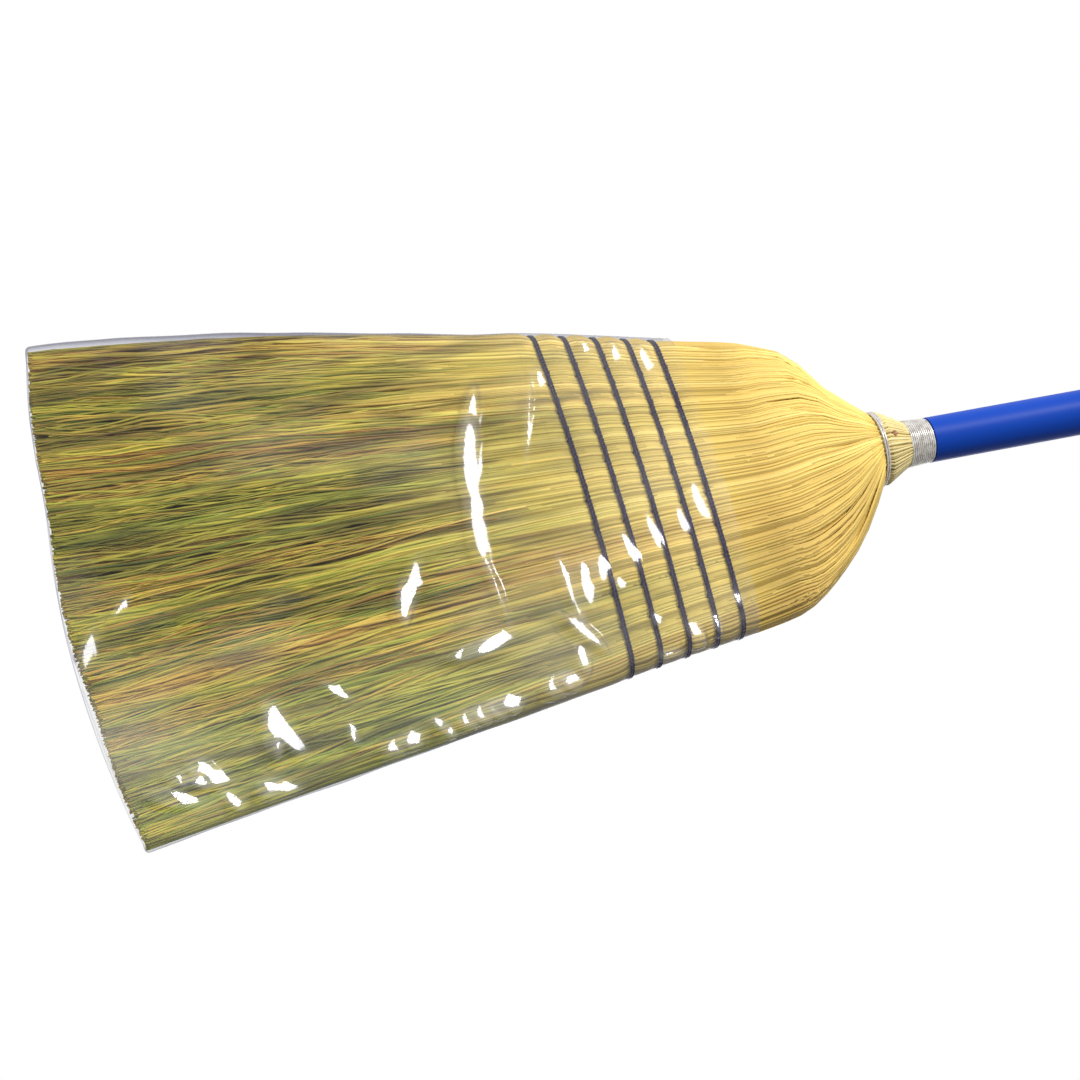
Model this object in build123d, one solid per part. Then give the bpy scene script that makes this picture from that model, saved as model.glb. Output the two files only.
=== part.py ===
from build123d import *
import math
import os

import numpy as np

# Corn broom: a fan of sewn broomcorn wired to a lacquered wooden handle, in a clear film sleeve.
# The broom stands on its bristle tips. +Z runs up along the handle, X is the sweeping width and
# Y the thickness of the head, with its front face towards -Y. All lengths are in millimetres.

# Handle
OVERALL_LENGTH = 1448.0
HANDLE_DIAMETER = 27.0
HANDLE_END_ROUND = 8.0
TENON_ROOT_RADIUS = 10.8
TENON_TIP_RADIUS = 8.0
TENON_LENGTH = 84.0
TENON_CLEARANCE = 0.1

# Fan: heights above the tips, then widths and depths
CREASE_HEIGHT = 486.0
SHOULDER_HEIGHT = 415.0
STITCH_HEIGHTS = (304.0, 322.0, 340.0, 358.0, 374.0)
ROOT_BELOW_STITCH = 12.0
ROOT_WIDTH = 218.0
SHOULDER_WIDTH = 173.0
ROOT_DEPTH = 40.0
SHOULDER_DEPTH = 41.0
NECK_WIDTH = 49.0
NECK_DEPTH = 48.0
NECK_FLARE = 1.9
SEWN_END_ANGLE = 80.0
NECK_END_ANGLE = 50.0
SHOULDER_SECTIONS = 7

# Layers of the fan: the covers lie outside the core's depth, the shoulders beside its width
CORE_DEPTH = 16.0
CORE_ROOT_WIDTH = 130.0
CORE_NECK_WIDTH = 24.0

# Inner tie: the core's round neck on the tenon, and the hollow round it
CORE_NECK_RADIUS = 13.6
CORE_NECK_LENGTH = 24.0
CORE_NECK_DROP = 2.0
TIE_CLEARANCE = 2.6

# Bristles
TIP_WIDTH = 294.0
TIP_DEPTH = 44.0
TIP_SAGITTA = 19.0
TIP_FLAT = 0.5
TIP_UNEVEN = 9.0
TIP_UNEVEN_SHARE = 0.6
STRAND_PITCH = 3.5
STRAND_GAP = 0.45
STRAND_TAPER = 0.6
STRAND_EDGE = 4.5
STRAND_LEAST_DEPTH = 2.4
COVER_STRAND_ROWS = 2
CORE_STRAND_ROWS = 3
SLICE_THICKNESS = 6.0
SLICE_BITE = 2.0

# Collar of butt ends, and the tapered seat of the neck band above it
COLLAR_LENGTH = 21.0
COLLAR_BASE_RADIUS = 22.6
COLLAR_SEAT_LENGTH = 5.4
COLLAR_SEAT_STEP = 1.0
COLLAR_TOP_STEP = 1.5
BAND_LENGTH = 17.0
BAND_WALL = 1.1
BAND_TAPER = 1.1

# Binding wire
WIRE_DIAMETER = 1.2
WIRE_GAP = 0.45
WIRE_LIFT = 0.1
WIRE_BEND = 1.3
WIRE_TUCK = 2.4
WIRE_HOLE_CLEARANCE = 0.35
WIRE_END_GAP = 0.3
NECK_WIRE_START = 20.0
COLLAR_WIRE_START = 40.0
CORE_WIRE_START = 0.0

# Binding nails, driven square to the collar's taper
NAIL_ABOVE_CREASE = 10.0
NAIL_COUNT = 2
NAIL_ANGLE = -90.0
NAIL_HEAD_DIAMETER = 3.4
NAIL_HEAD_THICKNESS = 0.7
NAIL_SHANK_DIAMETER = 1.5
NAIL_LENGTH = 14.0
NAIL_LIFT = 0.1
NAIL_CLEARANCE = 0.05

# Stitching twine
TWINE_DIAMETER = 1.6
TWINE_GAP = 0.5
TWINE_LIFT = 0.25
TWINE_WRAPS = 2
TWINE_BEND = 1.6
TWINE_HOLE_CLEARANCE = 0.35
TWINE_TUCK = 6.0
STITCH_PITCH = 9.5
STITCH_EDGE = 14.0
TAIL_SETBACK = 4.0
TAIL_STEP = 5.0

# Film sleeve
FILM_WALL = 0.4
FILM_CLEARANCE = 0.4
FILM_BULGE = 2.5
FILM_TIP_INSET = 1.0
FILM_PAST_STITCH = 10.0

# Fineness of the measured gaps, reaches of the cutting blocks, and tolerances
SAMPLE_STEP = 1.0
SELF_GAP_DIAMETERS = 4.0
BEYOND = 50.0
CUT_MARGIN = 1.0
STRAIGHT_TOLERANCE = 1e-6
PARALLEL_TOLERANCE = 1e-9
GOLDEN_SHARE = (math.sqrt(5.0) - 1.0) / 2.0

# Heights and sizes that follow from the driving dimensions
root_z = STITCH_HEIGHTS[0] - ROOT_BELOW_STITCH
collar_top_z = CREASE_HEIGHT + COLLAR_LENGTH
handle_foot_z = collar_top_z + BAND_LENGTH
tenon_tip_z = handle_foot_z - TENON_LENGTH
core_neck_top_z = CREASE_HEIGHT - CORE_NECK_DROP
core_neck_foot_z = core_neck_top_z - CORE_NECK_LENGTH
seat_top_z = CREASE_HEIGHT + COLLAR_SEAT_LENGTH
nail_z = CREASE_HEIGHT + NAIL_ABOVE_CREASE
film_top_z = STITCH_HEIGHTS[-1] + FILM_PAST_STITCH
handle_radius = HANDLE_DIAMETER / 2
wire_radius = WIRE_DIAMETER / 2
wire_pitch = WIRE_DIAMETER + WIRE_GAP
band_top_radius = TENON_ROOT_RADIUS + TENON_CLEARANCE + BAND_WALL
band_base_radius = band_top_radius + BAND_TAPER
collar_top_radius = band_base_radius + COLLAR_TOP_STEP
collar_seat_radius = COLLAR_BASE_RADIUS - COLLAR_SEAT_STEP
tie_hollow_radius = CORE_NECK_RADIUS + WIRE_LIFT + WIRE_DIAMETER + TIE_CLEARANCE
twine_radius = TWINE_DIAMETER / 2
twine_pitch = TWINE_DIAMETER + TWINE_GAP
wrap_offset = TWINE_LIFT + twine_radius
stitch_offset = wrap_offset + twine_pitch
film_offset = stitch_offset + twine_radius + FILM_CLEARANCE
tip_arc_radius = ((TIP_WIDTH / 2) ** 2 + TIP_SAGITTA ** 2) / (2 * TIP_SAGITTA)


def blend(low, high, share):
    """Value a share of the way from low to high."""
    return low + (high - low) * share


class Oval:
    """Closed outline of four tangent arcs: two long faces across Y and two rounded ends along X."""

    def __init__(self, half_width, half_depth, end_angle):
        sine = math.sin(math.radians(end_angle))
        cosine = math.cos(math.radians(end_angle))
        spare = 1 - cosine - sine
        self.half_width = half_width
        self.half_depth = half_depth
        self.end_angle = end_angle
        self.end_radius = (half_width * (1 - sine) - half_depth * cosine) / spare
        self.face_radius = (half_depth * (1 - cosine) - half_width * sine) / spare
        self.corner_x = half_width - self.end_radius * (1 - cosine)
        self.corner_y = self.end_radius * sine

    def grown(self, offset):
        """The parallel outline an even distance outside this one."""
        return Oval(self.half_width + offset, self.half_depth + offset, self.end_angle)

    def wire(self, z):
        """The outline as a closed wire at a height."""
        x, y = self.corner_x, self.corner_y
        right = ThreePointArc((x, -y, z), (self.half_width, 0, z), (x, y, z))
        back = ThreePointArc((x, y, z), (0, self.half_depth, z), (-x, y, z))
        left = ThreePointArc((-x, y, z), (-self.half_width, 0, z), (-x, -y, z))
        front = ThreePointArc((-x, -y, z), (0, -self.half_depth, z), (x, -y, z))
        return Wire([right, back, left, front])

    def depth_at(self, x):
        """Half the thickness of the outline at a place across its width."""
        if abs(x) <= self.corner_x:
            return self.half_depth - self.face_radius + math.sqrt(self.face_radius ** 2 - x ** 2)
        reach = abs(x) - (self.half_width - self.end_radius)
        return math.sqrt(self.end_radius ** 2 - reach ** 2)

    def rim(self, angle, z):
        """Point whose outward normal lies at an angle to +X, in degrees."""
        cosine = math.cos(math.radians(angle))
        sine = math.sin(math.radians(angle))
        if abs(sine) <= math.sin(math.radians(self.end_angle)) + PARALLEL_TOLERANCE:
            centre_x = math.copysign(self.half_width - self.end_radius, cosine)
            return Vector(centre_x + self.end_radius * cosine, self.end_radius * sine, z)
        centre_y = (self.half_depth - self.face_radius) * math.copysign(1, sine)
        return Vector(self.face_radius * cosine, centre_y + self.face_radius * sine, z)

    def front_angle(self, x):
        """Normal angle of the front face at a place across the width."""
        return -90 + math.degrees(math.asin(x / self.face_radius))


def fan_section(z):
    """Outline of the packed fan at a height between the bristles' root and the crease."""
    share = (z - root_z) / (SHOULDER_HEIGHT - root_z)
    if share <= 1:
        half_width = blend(ROOT_WIDTH, SHOULDER_WIDTH, share) / 2
        half_depth = blend(ROOT_DEPTH, SHOULDER_DEPTH, share) / 2
        return Oval(half_width, half_depth, SEWN_END_ANGLE)
    share = (z - SHOULDER_HEIGHT) / (CREASE_HEIGHT - SHOULDER_HEIGHT)
    half_depth = blend(SHOULDER_DEPTH, NECK_DEPTH, share) / 2
    end_angle = blend(SEWN_END_ANGLE, NECK_END_ANGLE, share)
    return Oval(shoulder_half_width(z), half_depth, end_angle)


def shoulder_half_width(z):
    """Half width up the rounded shoulder: a cubic that leaves the sewn side smoothly.

    It narrows at the neck by the neck's flare for each millimetre of height.
    """
    rise = CREASE_HEIGHT - SHOULDER_HEIGHT
    share = (z - SHOULDER_HEIGHT) / rise
    side_narrowing = (ROOT_WIDTH - SHOULDER_WIDTH) / 2 / (SHOULDER_HEIGHT - root_z)
    bend = share ** 2 * (3 - 2 * share)
    leaving = share * (1 - share) ** 2 * rise * side_narrowing
    arriving = share ** 2 * (1 - share) * rise * NECK_FLARE
    return blend(SHOULDER_WIDTH, NECK_WIDTH, bend) / 2 - leaving + arriving


def bristle_section(z):
    """Outline of the loose bristles at a height between the tips and their root."""
    share = z / root_z
    half_width = blend(TIP_WIDTH, ROOT_WIDTH, share) / 2
    half_depth = blend(TIP_DEPTH, ROOT_DEPTH, share) / 2
    return Oval(half_width, half_depth, SEWN_END_ANGLE)


def collar_radius(z):
    """Radius of the collar's taper at a height."""
    share = (z - seat_top_z) / (collar_top_z - seat_top_z)
    return blend(COLLAR_BASE_RADIUS, collar_top_radius, share)


def band_radius(z):
    """Radius of the neck band's seat at a height."""
    return blend(band_base_radius, band_top_radius, (z - collar_top_z) / BAND_LENGTH)


def turned(*profile):
    """Solid of revolution about Z from edges in the XZ plane."""
    return revolve(make_face(Curve() + list(profile)), Axis.Z)


def rod(start, direction, length, radius):
    """Round rod from a point along a direction."""
    return extrude(Plane(origin=start, z_dir=direction) * Circle(radius), length)


def prism(outline, half_depth):
    """Block of an XZ outline, centred on Y."""
    face = Plane.XZ * make_face(Polyline(*outline, close=True))
    return extrude(face, half_depth, both=True)


def run(start, direction, end):
    """Edge that leaves start along a direction: straight where end lies ahead, else one arc."""
    chord = end - start
    if direction.cross(chord).length < STRAIGHT_TOLERANCE * chord.length:
        return Edge.make_line(start, end)
    return Edge.make_tangent_arc(start, direction, end)


def smooth_path(stations):
    """Path through stations, each a point and a direction, on pairs of tangent arcs."""
    edges = []
    for (start, leaving), (end, arriving) in zip(stations, stations[1:]):
        chord = end - start
        off_line = leaving.cross(chord).length + arriving.cross(chord).length
        if off_line < STRAIGHT_TOLERANCE * chord.length:
            edges.append(Edge.make_line(start, end))
            continue
        square = 2 - 2 * leaving.dot(arriving)
        linear = 2 * chord.dot(leaving + arriving)
        constant = -chord.dot(chord)
        if square < PARALLEL_TOLERANCE:
            reach = -constant / linear
        else:
            root = math.sqrt(linear ** 2 - 4 * square * constant)
            reach = (root - linear) / (2 * square)
        first_corner = start + leaving * reach
        last_corner = end - arriving * reach
        middle = (first_corner + last_corner) * 0.5
        edges.append(run(start, leaving, middle))
        edges.append(run(middle, (last_corner - first_corner).normalized(), end))
    return edges


def tube(edges, radius):
    """Round tube swept along joined edges."""
    path = Wire(edges)
    profile = Plane(origin=path @ 0, z_dir=path % 0) * Circle(radius)
    return sweep(profile, path=path)


def print_self_gap(name, edges, diameter):
    """Print the least gap between stretches of one tube that don't follow on from each other."""
    points = []
    stations = []
    travelled = 0.0
    for edge in edges:
        steps = max(2, math.ceil(edge.length / SAMPLE_STEP))
        for step in range(steps):
            points.append(tuple(edge @ (step / steps)))
            stations.append(travelled + edge.length * step / steps)
        travelled += edge.length
    points = np.array(points)
    stations = np.array(stations)
    least = math.inf
    for point, station in zip(points, stations):
        apart = np.abs(stations - station) > SELF_GAP_DIAMETERS * diameter
        least = min(least, np.linalg.norm(points[apart] - point, axis=1).min())
    print(f"{name}: least gap to itself {least - diameter:.2f} mm")


def winding(name, seat_radius, low_z, high_z, start_angle):
    """Wire wound up a round seat, with both ends tucked in, and the holes its ends go into."""
    rise = high_z - low_z - WIRE_DIAMETER - 2 * WIRE_END_GAP
    quarters = int(4 * rise / wire_pitch)
    first_z = (low_z + high_z) / 2 - quarters * wire_pitch / 8

    def station(quarter):
        z = first_z + quarter * wire_pitch / 4
        angle = math.radians(start_angle + 90 * quarter)
        radius = seat_radius(z) + WIRE_LIFT + wire_radius
        flare = (seat_radius(z + wire_pitch) - seat_radius(z)) / (2 * math.pi)
        outward = Vector(math.cos(angle), math.sin(angle), 0)
        around = Vector(-math.sin(angle), math.cos(angle), 0)
        along = (around * radius + outward * flare + Vector(0, 0, wire_pitch / (2 * math.pi))).normalized()
        return outward * radius + Vector(0, 0, z), along

    turns = [station(quarter) for quarter in range(quarters + 1)]
    first, first_along = turns[0]
    last, last_along = turns[-1]
    out = end_normal(first, first_along)
    back = end_normal(last, last_along)
    entry = first - (first_along + out) * WIRE_BEND
    leave = last + (last_along - back) * WIRE_BEND
    stations = [(entry - out * WIRE_TUCK, out), (entry, out), *turns]
    stations += [(leave, -back), (leave - back * WIRE_TUCK, -back)]
    edges = smooth_path(stations)
    print_self_gap(name, edges, WIRE_DIAMETER)
    hole_radius = wire_radius + WIRE_HOLE_CLEARANCE
    depth = WIRE_TUCK + WIRE_HOLE_CLEARANCE
    holes = [rod(point - normal * depth, normal, depth + WIRE_BEND, hole_radius)
             for point, normal in ((entry, out), (leave, back))]
    return tube(edges, wire_radius), holes


def end_normal(point, along):
    """Direction away from the Z axis, square to a wire's direction at a point."""
    outward = Vector(point.X, point.Y, 0).normalized()
    return (outward - along * outward.dot(along)).normalized()


def stitch_places(oval):
    """Places across the width of the twine's tail and of each leg through the head."""
    tail_x = oval.corner_x - TAIL_SETBACK
    first_x = tail_x - TAIL_STEP
    count = int((first_x + oval.half_width - STITCH_EDGE) / STITCH_PITCH) + 1
    return tail_x, [first_x - STITCH_PITCH * leg for leg in range(count)]


def leg_height(row_z, leg):
    """Height of a leg: legs lie beside the wraps, above and below them in turn."""
    beside = twine_pitch * (TWINE_WRAPS + 1) / 2
    return row_z + (beside if leg % 2 == 0 else -beside)


def wrap_stations(oval, row_z, tail_x, first_x):
    """Stations of the wraps: out of the tail's hole, round the head, and into the first leg's hole.

    Each turn climbs one twine pitch round the right-hand end, so the turns lie side by side.
    """
    centre = oval.grown(wrap_offset)
    low_z = row_z - twine_pitch * (TWINE_WRAPS - 1) / 2
    end_length = 2 * math.radians(oval.end_angle) * centre.end_radius
    steepest = 2 * twine_pitch / end_length

    def station(angle, z, slope=0.0):
        turn = math.radians(angle)
        along = Vector(math.sin(turn), -math.cos(turn), slope).normalized()
        return centre.rim(angle, z), along

    tail_y = centre.depth_at(tail_x) - TWINE_BEND
    forward = Vector(0, -1, 0)
    stations = [(Vector(tail_x, TWINE_TUCK - tail_y, low_z), forward)]
    stations.append((Vector(tail_x, -tail_y, low_z), forward))
    stations.append(station(centre.front_angle(tail_x - TWINE_BEND), low_z))
    for wrap in range(TWINE_WRAPS):
        z = low_z + wrap * twine_pitch
        stations.append(station(-90, z))
        for angle in (oval.end_angle - 180, -180, -180 - oval.end_angle, -270, oval.end_angle - 360):
            stations.append(station(angle, z))
        stations.append(station(-360, z + twine_pitch / 2, steepest))
        stations.append(station(-360 - oval.end_angle, z + twine_pitch))
    stations.append(station(centre.front_angle(first_x + TWINE_BEND), low_z + TWINE_WRAPS * twine_pitch))
    return stations


def stitch_stations(oval, row_z, places):
    """Stations of the sewing: legs through the head, joined over the wraps on either face in turn."""
    surface = oval.grown(stitch_offset - TWINE_BEND)
    crown = oval.grown(stitch_offset)
    stations = []
    side = -1
    for leg, x in enumerate(places):
        z = leg_height(row_z, leg)
        across = Vector(0, -side, 0)
        entry = oval.grown(wrap_offset - TWINE_BEND) if leg == 0 else surface
        last = leg == len(places) - 1
        leave = oval if last else surface
        stations.append((Vector(x, side * entry.depth_at(x), z), across))
        stations.append((Vector(x, -side * leave.depth_at(x), z), across))
        if last:
            break
        side = -side
        next_x = places[leg + 1]
        start = Vector(x, side * crown.depth_at(x), z)
        end = Vector(next_x, side * crown.depth_at(next_x), leg_height(row_z, leg + 1))
        along = (end - start).normalized()
        stations.append((start + along * TWINE_BEND, along))
        stations.append((end - along * TWINE_BEND, along))
    return stations


def stitch_row(number, row_z):
    """One row of twine, and the holes that its tail and legs take through the head."""
    oval = fan_section(row_z)
    tail_x, places = stitch_places(oval)
    stations = wrap_stations(oval, row_z, tail_x, places[0])
    stations += stitch_stations(oval, row_z, places)
    turned_over = [(Vector(p.X, -p.Y, p.Z), Vector(d.X, -d.Y, d.Z)) for p, d in stations]
    edges = smooth_path(turned_over)
    print_self_gap(f"stitch_row_{number}", edges, TWINE_DIAMETER)
    hole_radius = twine_radius + TWINE_HOLE_CLEARANCE
    through = 2 * oval.half_depth + 2 * BEYOND
    holes = [rod((x, -through / 2, leg_height(row_z, leg)), (0, 1, 0), through, hole_radius)
             for leg, x in enumerate(places)]
    tail_point, tail_direction = turned_over[0]
    tail_start = tail_point - tail_direction * TWINE_HOLE_CLEARANCE
    holes.append(rod(tail_start, tail_direction, TWINE_TUCK + BEYOND, hole_radius))
    return tube(edges, twine_radius), holes


def fan_block():
    """The whole packed fan, from the bristles' root to the crease."""
    sewn = Solid.make_loft([fan_section(z).wire(z) for z in (root_z, SHOULDER_HEIGHT)], ruled=True)
    rise = CREASE_HEIGHT - SHOULDER_HEIGHT
    steps = [math.sin(math.pi / 2 * step / (SHOULDER_SECTIONS - 1)) for step in range(SHOULDER_SECTIONS)]
    heights = [SHOULDER_HEIGHT + rise * step for step in steps]
    shoulder = Solid.make_loft([fan_section(z).wire(z) for z in heights])
    return Part() + sewn + shoulder


def layer_blocks():
    """Blocks that part the fan into its layers, by node name."""
    inner = CORE_DEPTH / 2
    wide = TIP_WIDTH
    foot = CORE_ROOT_WIDTH / 2
    neck = CORE_NECK_WIDTH / 2
    slant = (foot - neck) / (CREASE_HEIGHT - root_z)
    low = root_z - CUT_MARGIN
    high = CREASE_HEIGHT + CUT_MARGIN
    low_x = foot + slant * CUT_MARGIN
    high_x = neck - slant * CUT_MARGIN
    core = prism([(-low_x, low), (low_x, low), (high_x, high), (-high_x, high)], inner)
    right = prism([(low_x, low), (wide, low), (wide, high), (high_x, high)], inner)
    left = prism([(-low_x, low), (-wide, low), (-wide, high), (-high_x, high)], inner)
    depth = NECK_DEPTH
    middle_z = (low + high) / 2
    cover = Box(2 * wide, depth, high - low)
    front = Pos(0, -inner - depth / 2, middle_z) * cover
    back = Pos(0, inner + depth / 2, middle_z) * cover
    return {"core": core, "left": left, "right": right, "front": front, "back": back}


def uneven(count):
    """Repeatable scatter from 0 to 1 for the strand of a count."""
    scatter = (count * GOLDEN_SHARE) % 1.0
    return max(0.0, scatter - (1 - TIP_UNEVEN_SHARE)) / TIP_UNEVEN_SHARE


def strand(x, y, width, depth, count):
    """Four-sided strand that tapers from the slice to its tip, fanning out with the bristles."""
    root = bristle_section(root_z)
    tip = bristle_section(0.0)
    tip_x = x * tip.half_width / root.half_width
    tip_y = y * tip.half_depth / root.half_depth
    edge_z = tip_arc_radius - math.sqrt(tip_arc_radius ** 2 - tip_x ** 2)
    tip_z = max(0.0, edge_z + TIP_UNEVEN * uneven(count) - TIP_FLAT)
    top_z = root_z - SLICE_THICKNESS + SLICE_BITE
    top = Pos(x, y, top_z) * Rectangle(width, depth)
    foot = Pos(tip_x, tip_y, tip_z) * Rectangle(width * STRAND_TAPER, depth * STRAND_TAPER)
    return Solid.make_loft([foot.wire(), top.wire()], ruled=True)


def bristles(low_x, high_x, rows, layer_span):
    """Strands of one layer: rows across its depth in even steps along its width."""
    count = round((high_x - low_x) / STRAND_PITCH)
    pitch = (high_x - low_x) / count
    strands = []
    for place in range(count):
        x = low_x + pitch * (place + 0.5)
        inner_y, outer_y = layer_span(x)
        row_depth = (outer_y - inner_y) / rows
        if abs(row_depth) < STRAND_LEAST_DEPTH:
            continue
        for row in range(rows):
            y = inner_y + row_depth * (row + 0.5)
            order = place * rows + row
            strands.append(strand(x, y, pitch - STRAND_GAP, abs(row_depth) - STRAND_GAP, order))
    return strands


def bristle_slices():
    """Slices of the fan's foot that hold the strands, by layer."""
    foot = Face(bristle_section(root_z).wire(root_z))
    slab = extrude(foot, SLICE_THICKNESS, dir=(0, 0, -1))
    inner = CORE_DEPTH / 2
    split_x = CORE_ROOT_WIDTH / 2
    wide = ROOT_WIDTH
    tall = 2 * BEYOND
    side = Pos(0, 0, root_z) * Box(wide, CORE_DEPTH, tall)
    cover = Pos(0, 0, root_z) * Box(2 * wide, ROOT_DEPTH, tall)
    return {
        "core": slab & (Pos(0, 0, root_z) * Box(2 * split_x, CORE_DEPTH, tall)),
        "left": slab & (Pos(-split_x - wide / 2, 0, 0) * side),
        "right": slab & (Pos(split_x + wide / 2, 0, 0) * side),
        "front": slab & (Pos(0, -inner - ROOT_DEPTH / 2, 0) * cover),
        "back": slab & (Pos(0, inner + ROOT_DEPTH / 2, 0) * cover),
    }


def bristle_nodes():
    """Loose ends of each layer, fused to its slice."""
    root = bristle_section(root_z)
    inner = CORE_DEPTH / 2
    split_x = CORE_ROOT_WIDTH / 2
    edge_x = root.half_width - STRAND_EDGE

    def front_span(x):
        return -inner, -max(inner, root.depth_at(x) - STRAND_GAP)

    def back_span(x):
        return inner, max(inner, root.depth_at(x) - STRAND_GAP)

    def core_span(x):
        reach = min(inner, root.depth_at(x) - STRAND_GAP)
        return -reach, reach

    strands = {
        "front": bristles(-edge_x, edge_x, COVER_STRAND_ROWS, front_span),
        "back": bristles(-edge_x, edge_x, COVER_STRAND_ROWS, back_span),
        "left": bristles(-edge_x, -split_x, CORE_STRAND_ROWS, core_span),
        "core": bristles(-split_x, split_x, CORE_STRAND_ROWS, core_span),
        "right": bristles(split_x, edge_x, CORE_STRAND_ROWS, core_span),
    }
    print("strands in all:", sum(len(group) for group in strands.values()))
    slices = bristle_slices()
    return {f"{layer}_bristles": slices[layer].fuse(*strands[layer]) for layer in strands}


def handle_blank():
    """Handle with its rounded grip end and its tapered tenon."""
    r = handle_radius
    top = OVERALL_LENGTH
    shoulder = top - HANDLE_END_ROUND
    mid = HANDLE_END_ROUND * math.sqrt(0.5)
    round_x = r - HANDLE_END_ROUND
    outline = Polyline(
        (round_x, 0, top),
        (0, 0, top),
        (0, 0, tenon_tip_z),
        (TENON_TIP_RADIUS, 0, tenon_tip_z),
        (TENON_ROOT_RADIUS, 0, handle_foot_z),
        (r, 0, handle_foot_z),
        (r, 0, shoulder),
    )
    grip_end = ThreePointArc((r, 0, shoulder), (round_x + mid, 0, shoulder + mid), (round_x, 0, top))
    return turned(outline, grip_end)


def tenon_bore():
    """Tapered hole that the tenon sits in."""
    tip_radius = TENON_TIP_RADIUS + TENON_CLEARANCE
    root_radius = TENON_ROOT_RADIUS + TENON_CLEARANCE
    foot_z = tenon_tip_z - TENON_CLEARANCE
    return turned(Polyline((0, 0, foot_z), (tip_radius, 0, foot_z), (root_radius, 0, handle_foot_z),
                           (0, 0, handle_foot_z), close=True))


def collar_blank():
    """Collar of butt ends with its two wire seats, solid to the axis."""
    return turned(Polyline(
        (0, 0, CREASE_HEIGHT),
        (collar_seat_radius, 0, CREASE_HEIGHT),
        (collar_seat_radius, 0, seat_top_z),
        (COLLAR_BASE_RADIUS, 0, seat_top_z),
        (collar_top_radius, 0, collar_top_z),
        (band_base_radius, 0, collar_top_z),
        (band_top_radius, 0, handle_foot_z),
        (0, 0, handle_foot_z),
        close=True,
    ))


def nails():
    """Nails round the collar, and the holes they are driven into."""
    tilt = math.atan2(COLLAR_BASE_RADIUS - collar_top_radius, collar_top_z - seat_top_z)
    solids = []
    holes = []
    for nail in range(NAIL_COUNT):
        angle = math.radians(NAIL_ANGLE + 360 * nail / NAIL_COUNT)
        outward = Vector(math.cos(angle), math.sin(angle), 0)
        normal = outward * math.cos(tilt) + Vector(0, 0, math.sin(tilt))
        seat = outward * collar_radius(nail_z) + Vector(0, 0, nail_z) + normal * NAIL_LIFT
        tip = seat - normal * NAIL_LENGTH
        shank = rod(tip, normal, NAIL_LENGTH, NAIL_SHANK_DIAMETER / 2)
        head = rod(seat, normal, NAIL_HEAD_THICKNESS, NAIL_HEAD_DIAMETER / 2)
        solids.append(shank + head)
        hole_foot = tip - normal * NAIL_CLEARANCE
        holes.append(rod(hole_foot, normal, NAIL_LENGTH + BEYOND, NAIL_SHANK_DIAMETER / 2 + NAIL_CLEARANCE))
    return solids, holes


def film_section(z):
    """Inner outline of the film at a height."""
    if z >= root_z:
        return fan_section(z).grown(film_offset)
    share = z / root_z
    outline = bristle_section(z).grown(film_offset)
    bulge = FILM_BULGE * 4 * share * (1 - share)
    return Oval(outline.half_width + bulge, outline.half_depth, outline.end_angle)


def film_sleeve():
    """Open sleeve of film round the bristles and the stitches, cut along the tips' arc."""
    heights = (0.0, root_z / 4, root_z / 2, root_z, film_top_z)
    inside = Solid.make_loft([film_section(z).wire(z) for z in heights], ruled=True)
    outside = Solid.make_loft([film_section(z).grown(FILM_WALL).wire(z) for z in heights], ruled=True)
    arc_centre = (0, -BEYOND, tip_arc_radius)
    within_tips = rod(arc_centre, (0, 1, 0), 2 * BEYOND, tip_arc_radius - FILM_TIP_INSET)
    return (Part() + outside - inside) & within_tips


def build():
    """Every node of the broom, by name."""
    nodes = bristle_nodes()
    fan = fan_block()
    blocks = layer_blocks()
    bundle_names = {
        "core": "core_bundle",
        "left": "left_shoulder",
        "right": "right_shoulder",
        "front": "front_cover",
        "back": "back_cover",
    }
    hollow_height = CREASE_HEIGHT - core_neck_foot_z
    hollow = Pos(0, 0, core_neck_foot_z + hollow_height / 2) * Cylinder(tie_hollow_radius, hollow_height)
    core_neck_middle_z = core_neck_foot_z + CORE_NECK_LENGTH / 2
    core_neck = Pos(0, 0, core_neck_middle_z) * Cylinder(CORE_NECK_RADIUS, CORE_NECK_LENGTH)

    stitch_holes = []
    for number, row_z in enumerate(STITCH_HEIGHTS, start=1):
        nodes[f"stitch_row_{number}"], holes = stitch_row(number, row_z)
        stitch_holes += holes
    nodes["neck_wire"], neck_holes = winding(
        "neck_wire", band_radius, collar_top_z, handle_foot_z, NECK_WIRE_START)
    nodes["collar_wire"], collar_holes = winding(
        "collar_wire", lambda z: collar_seat_radius, CREASE_HEIGHT, seat_top_z, COLLAR_WIRE_START)
    nodes["core_wire"], core_holes = winding(
        "core_wire", lambda z: CORE_NECK_RADIUS, core_neck_foot_z, core_neck_top_z, CORE_WIRE_START)
    nail_solids, nail_holes = nails()
    nodes["binding_nails"] = Part() + nail_solids

    bore = tenon_bore()
    for layer, name in bundle_names.items():
        bundle = (fan & blocks[layer]) - hollow
        if layer == "core":
            bundle = bundle + core_neck - core_holes
        nodes[name] = bundle - bore - stitch_holes
    nodes["neck_collar"] = collar_blank() - bore - neck_holes - collar_holes - nail_holes
    nodes["handle"] = handle_blank() - neck_holes - nail_holes - core_holes
    nodes["film_sleeve"] = film_sleeve()
    return nodes


if __name__ == "__main__":
    os.makedirs("parts", exist_ok=True)
    for node_name, shape in build().items():
        export_step(shape, f"parts/{node_name}.step")
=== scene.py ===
import math

import bpy
import numpy as np
from mathutils import Matrix, Vector


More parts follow.
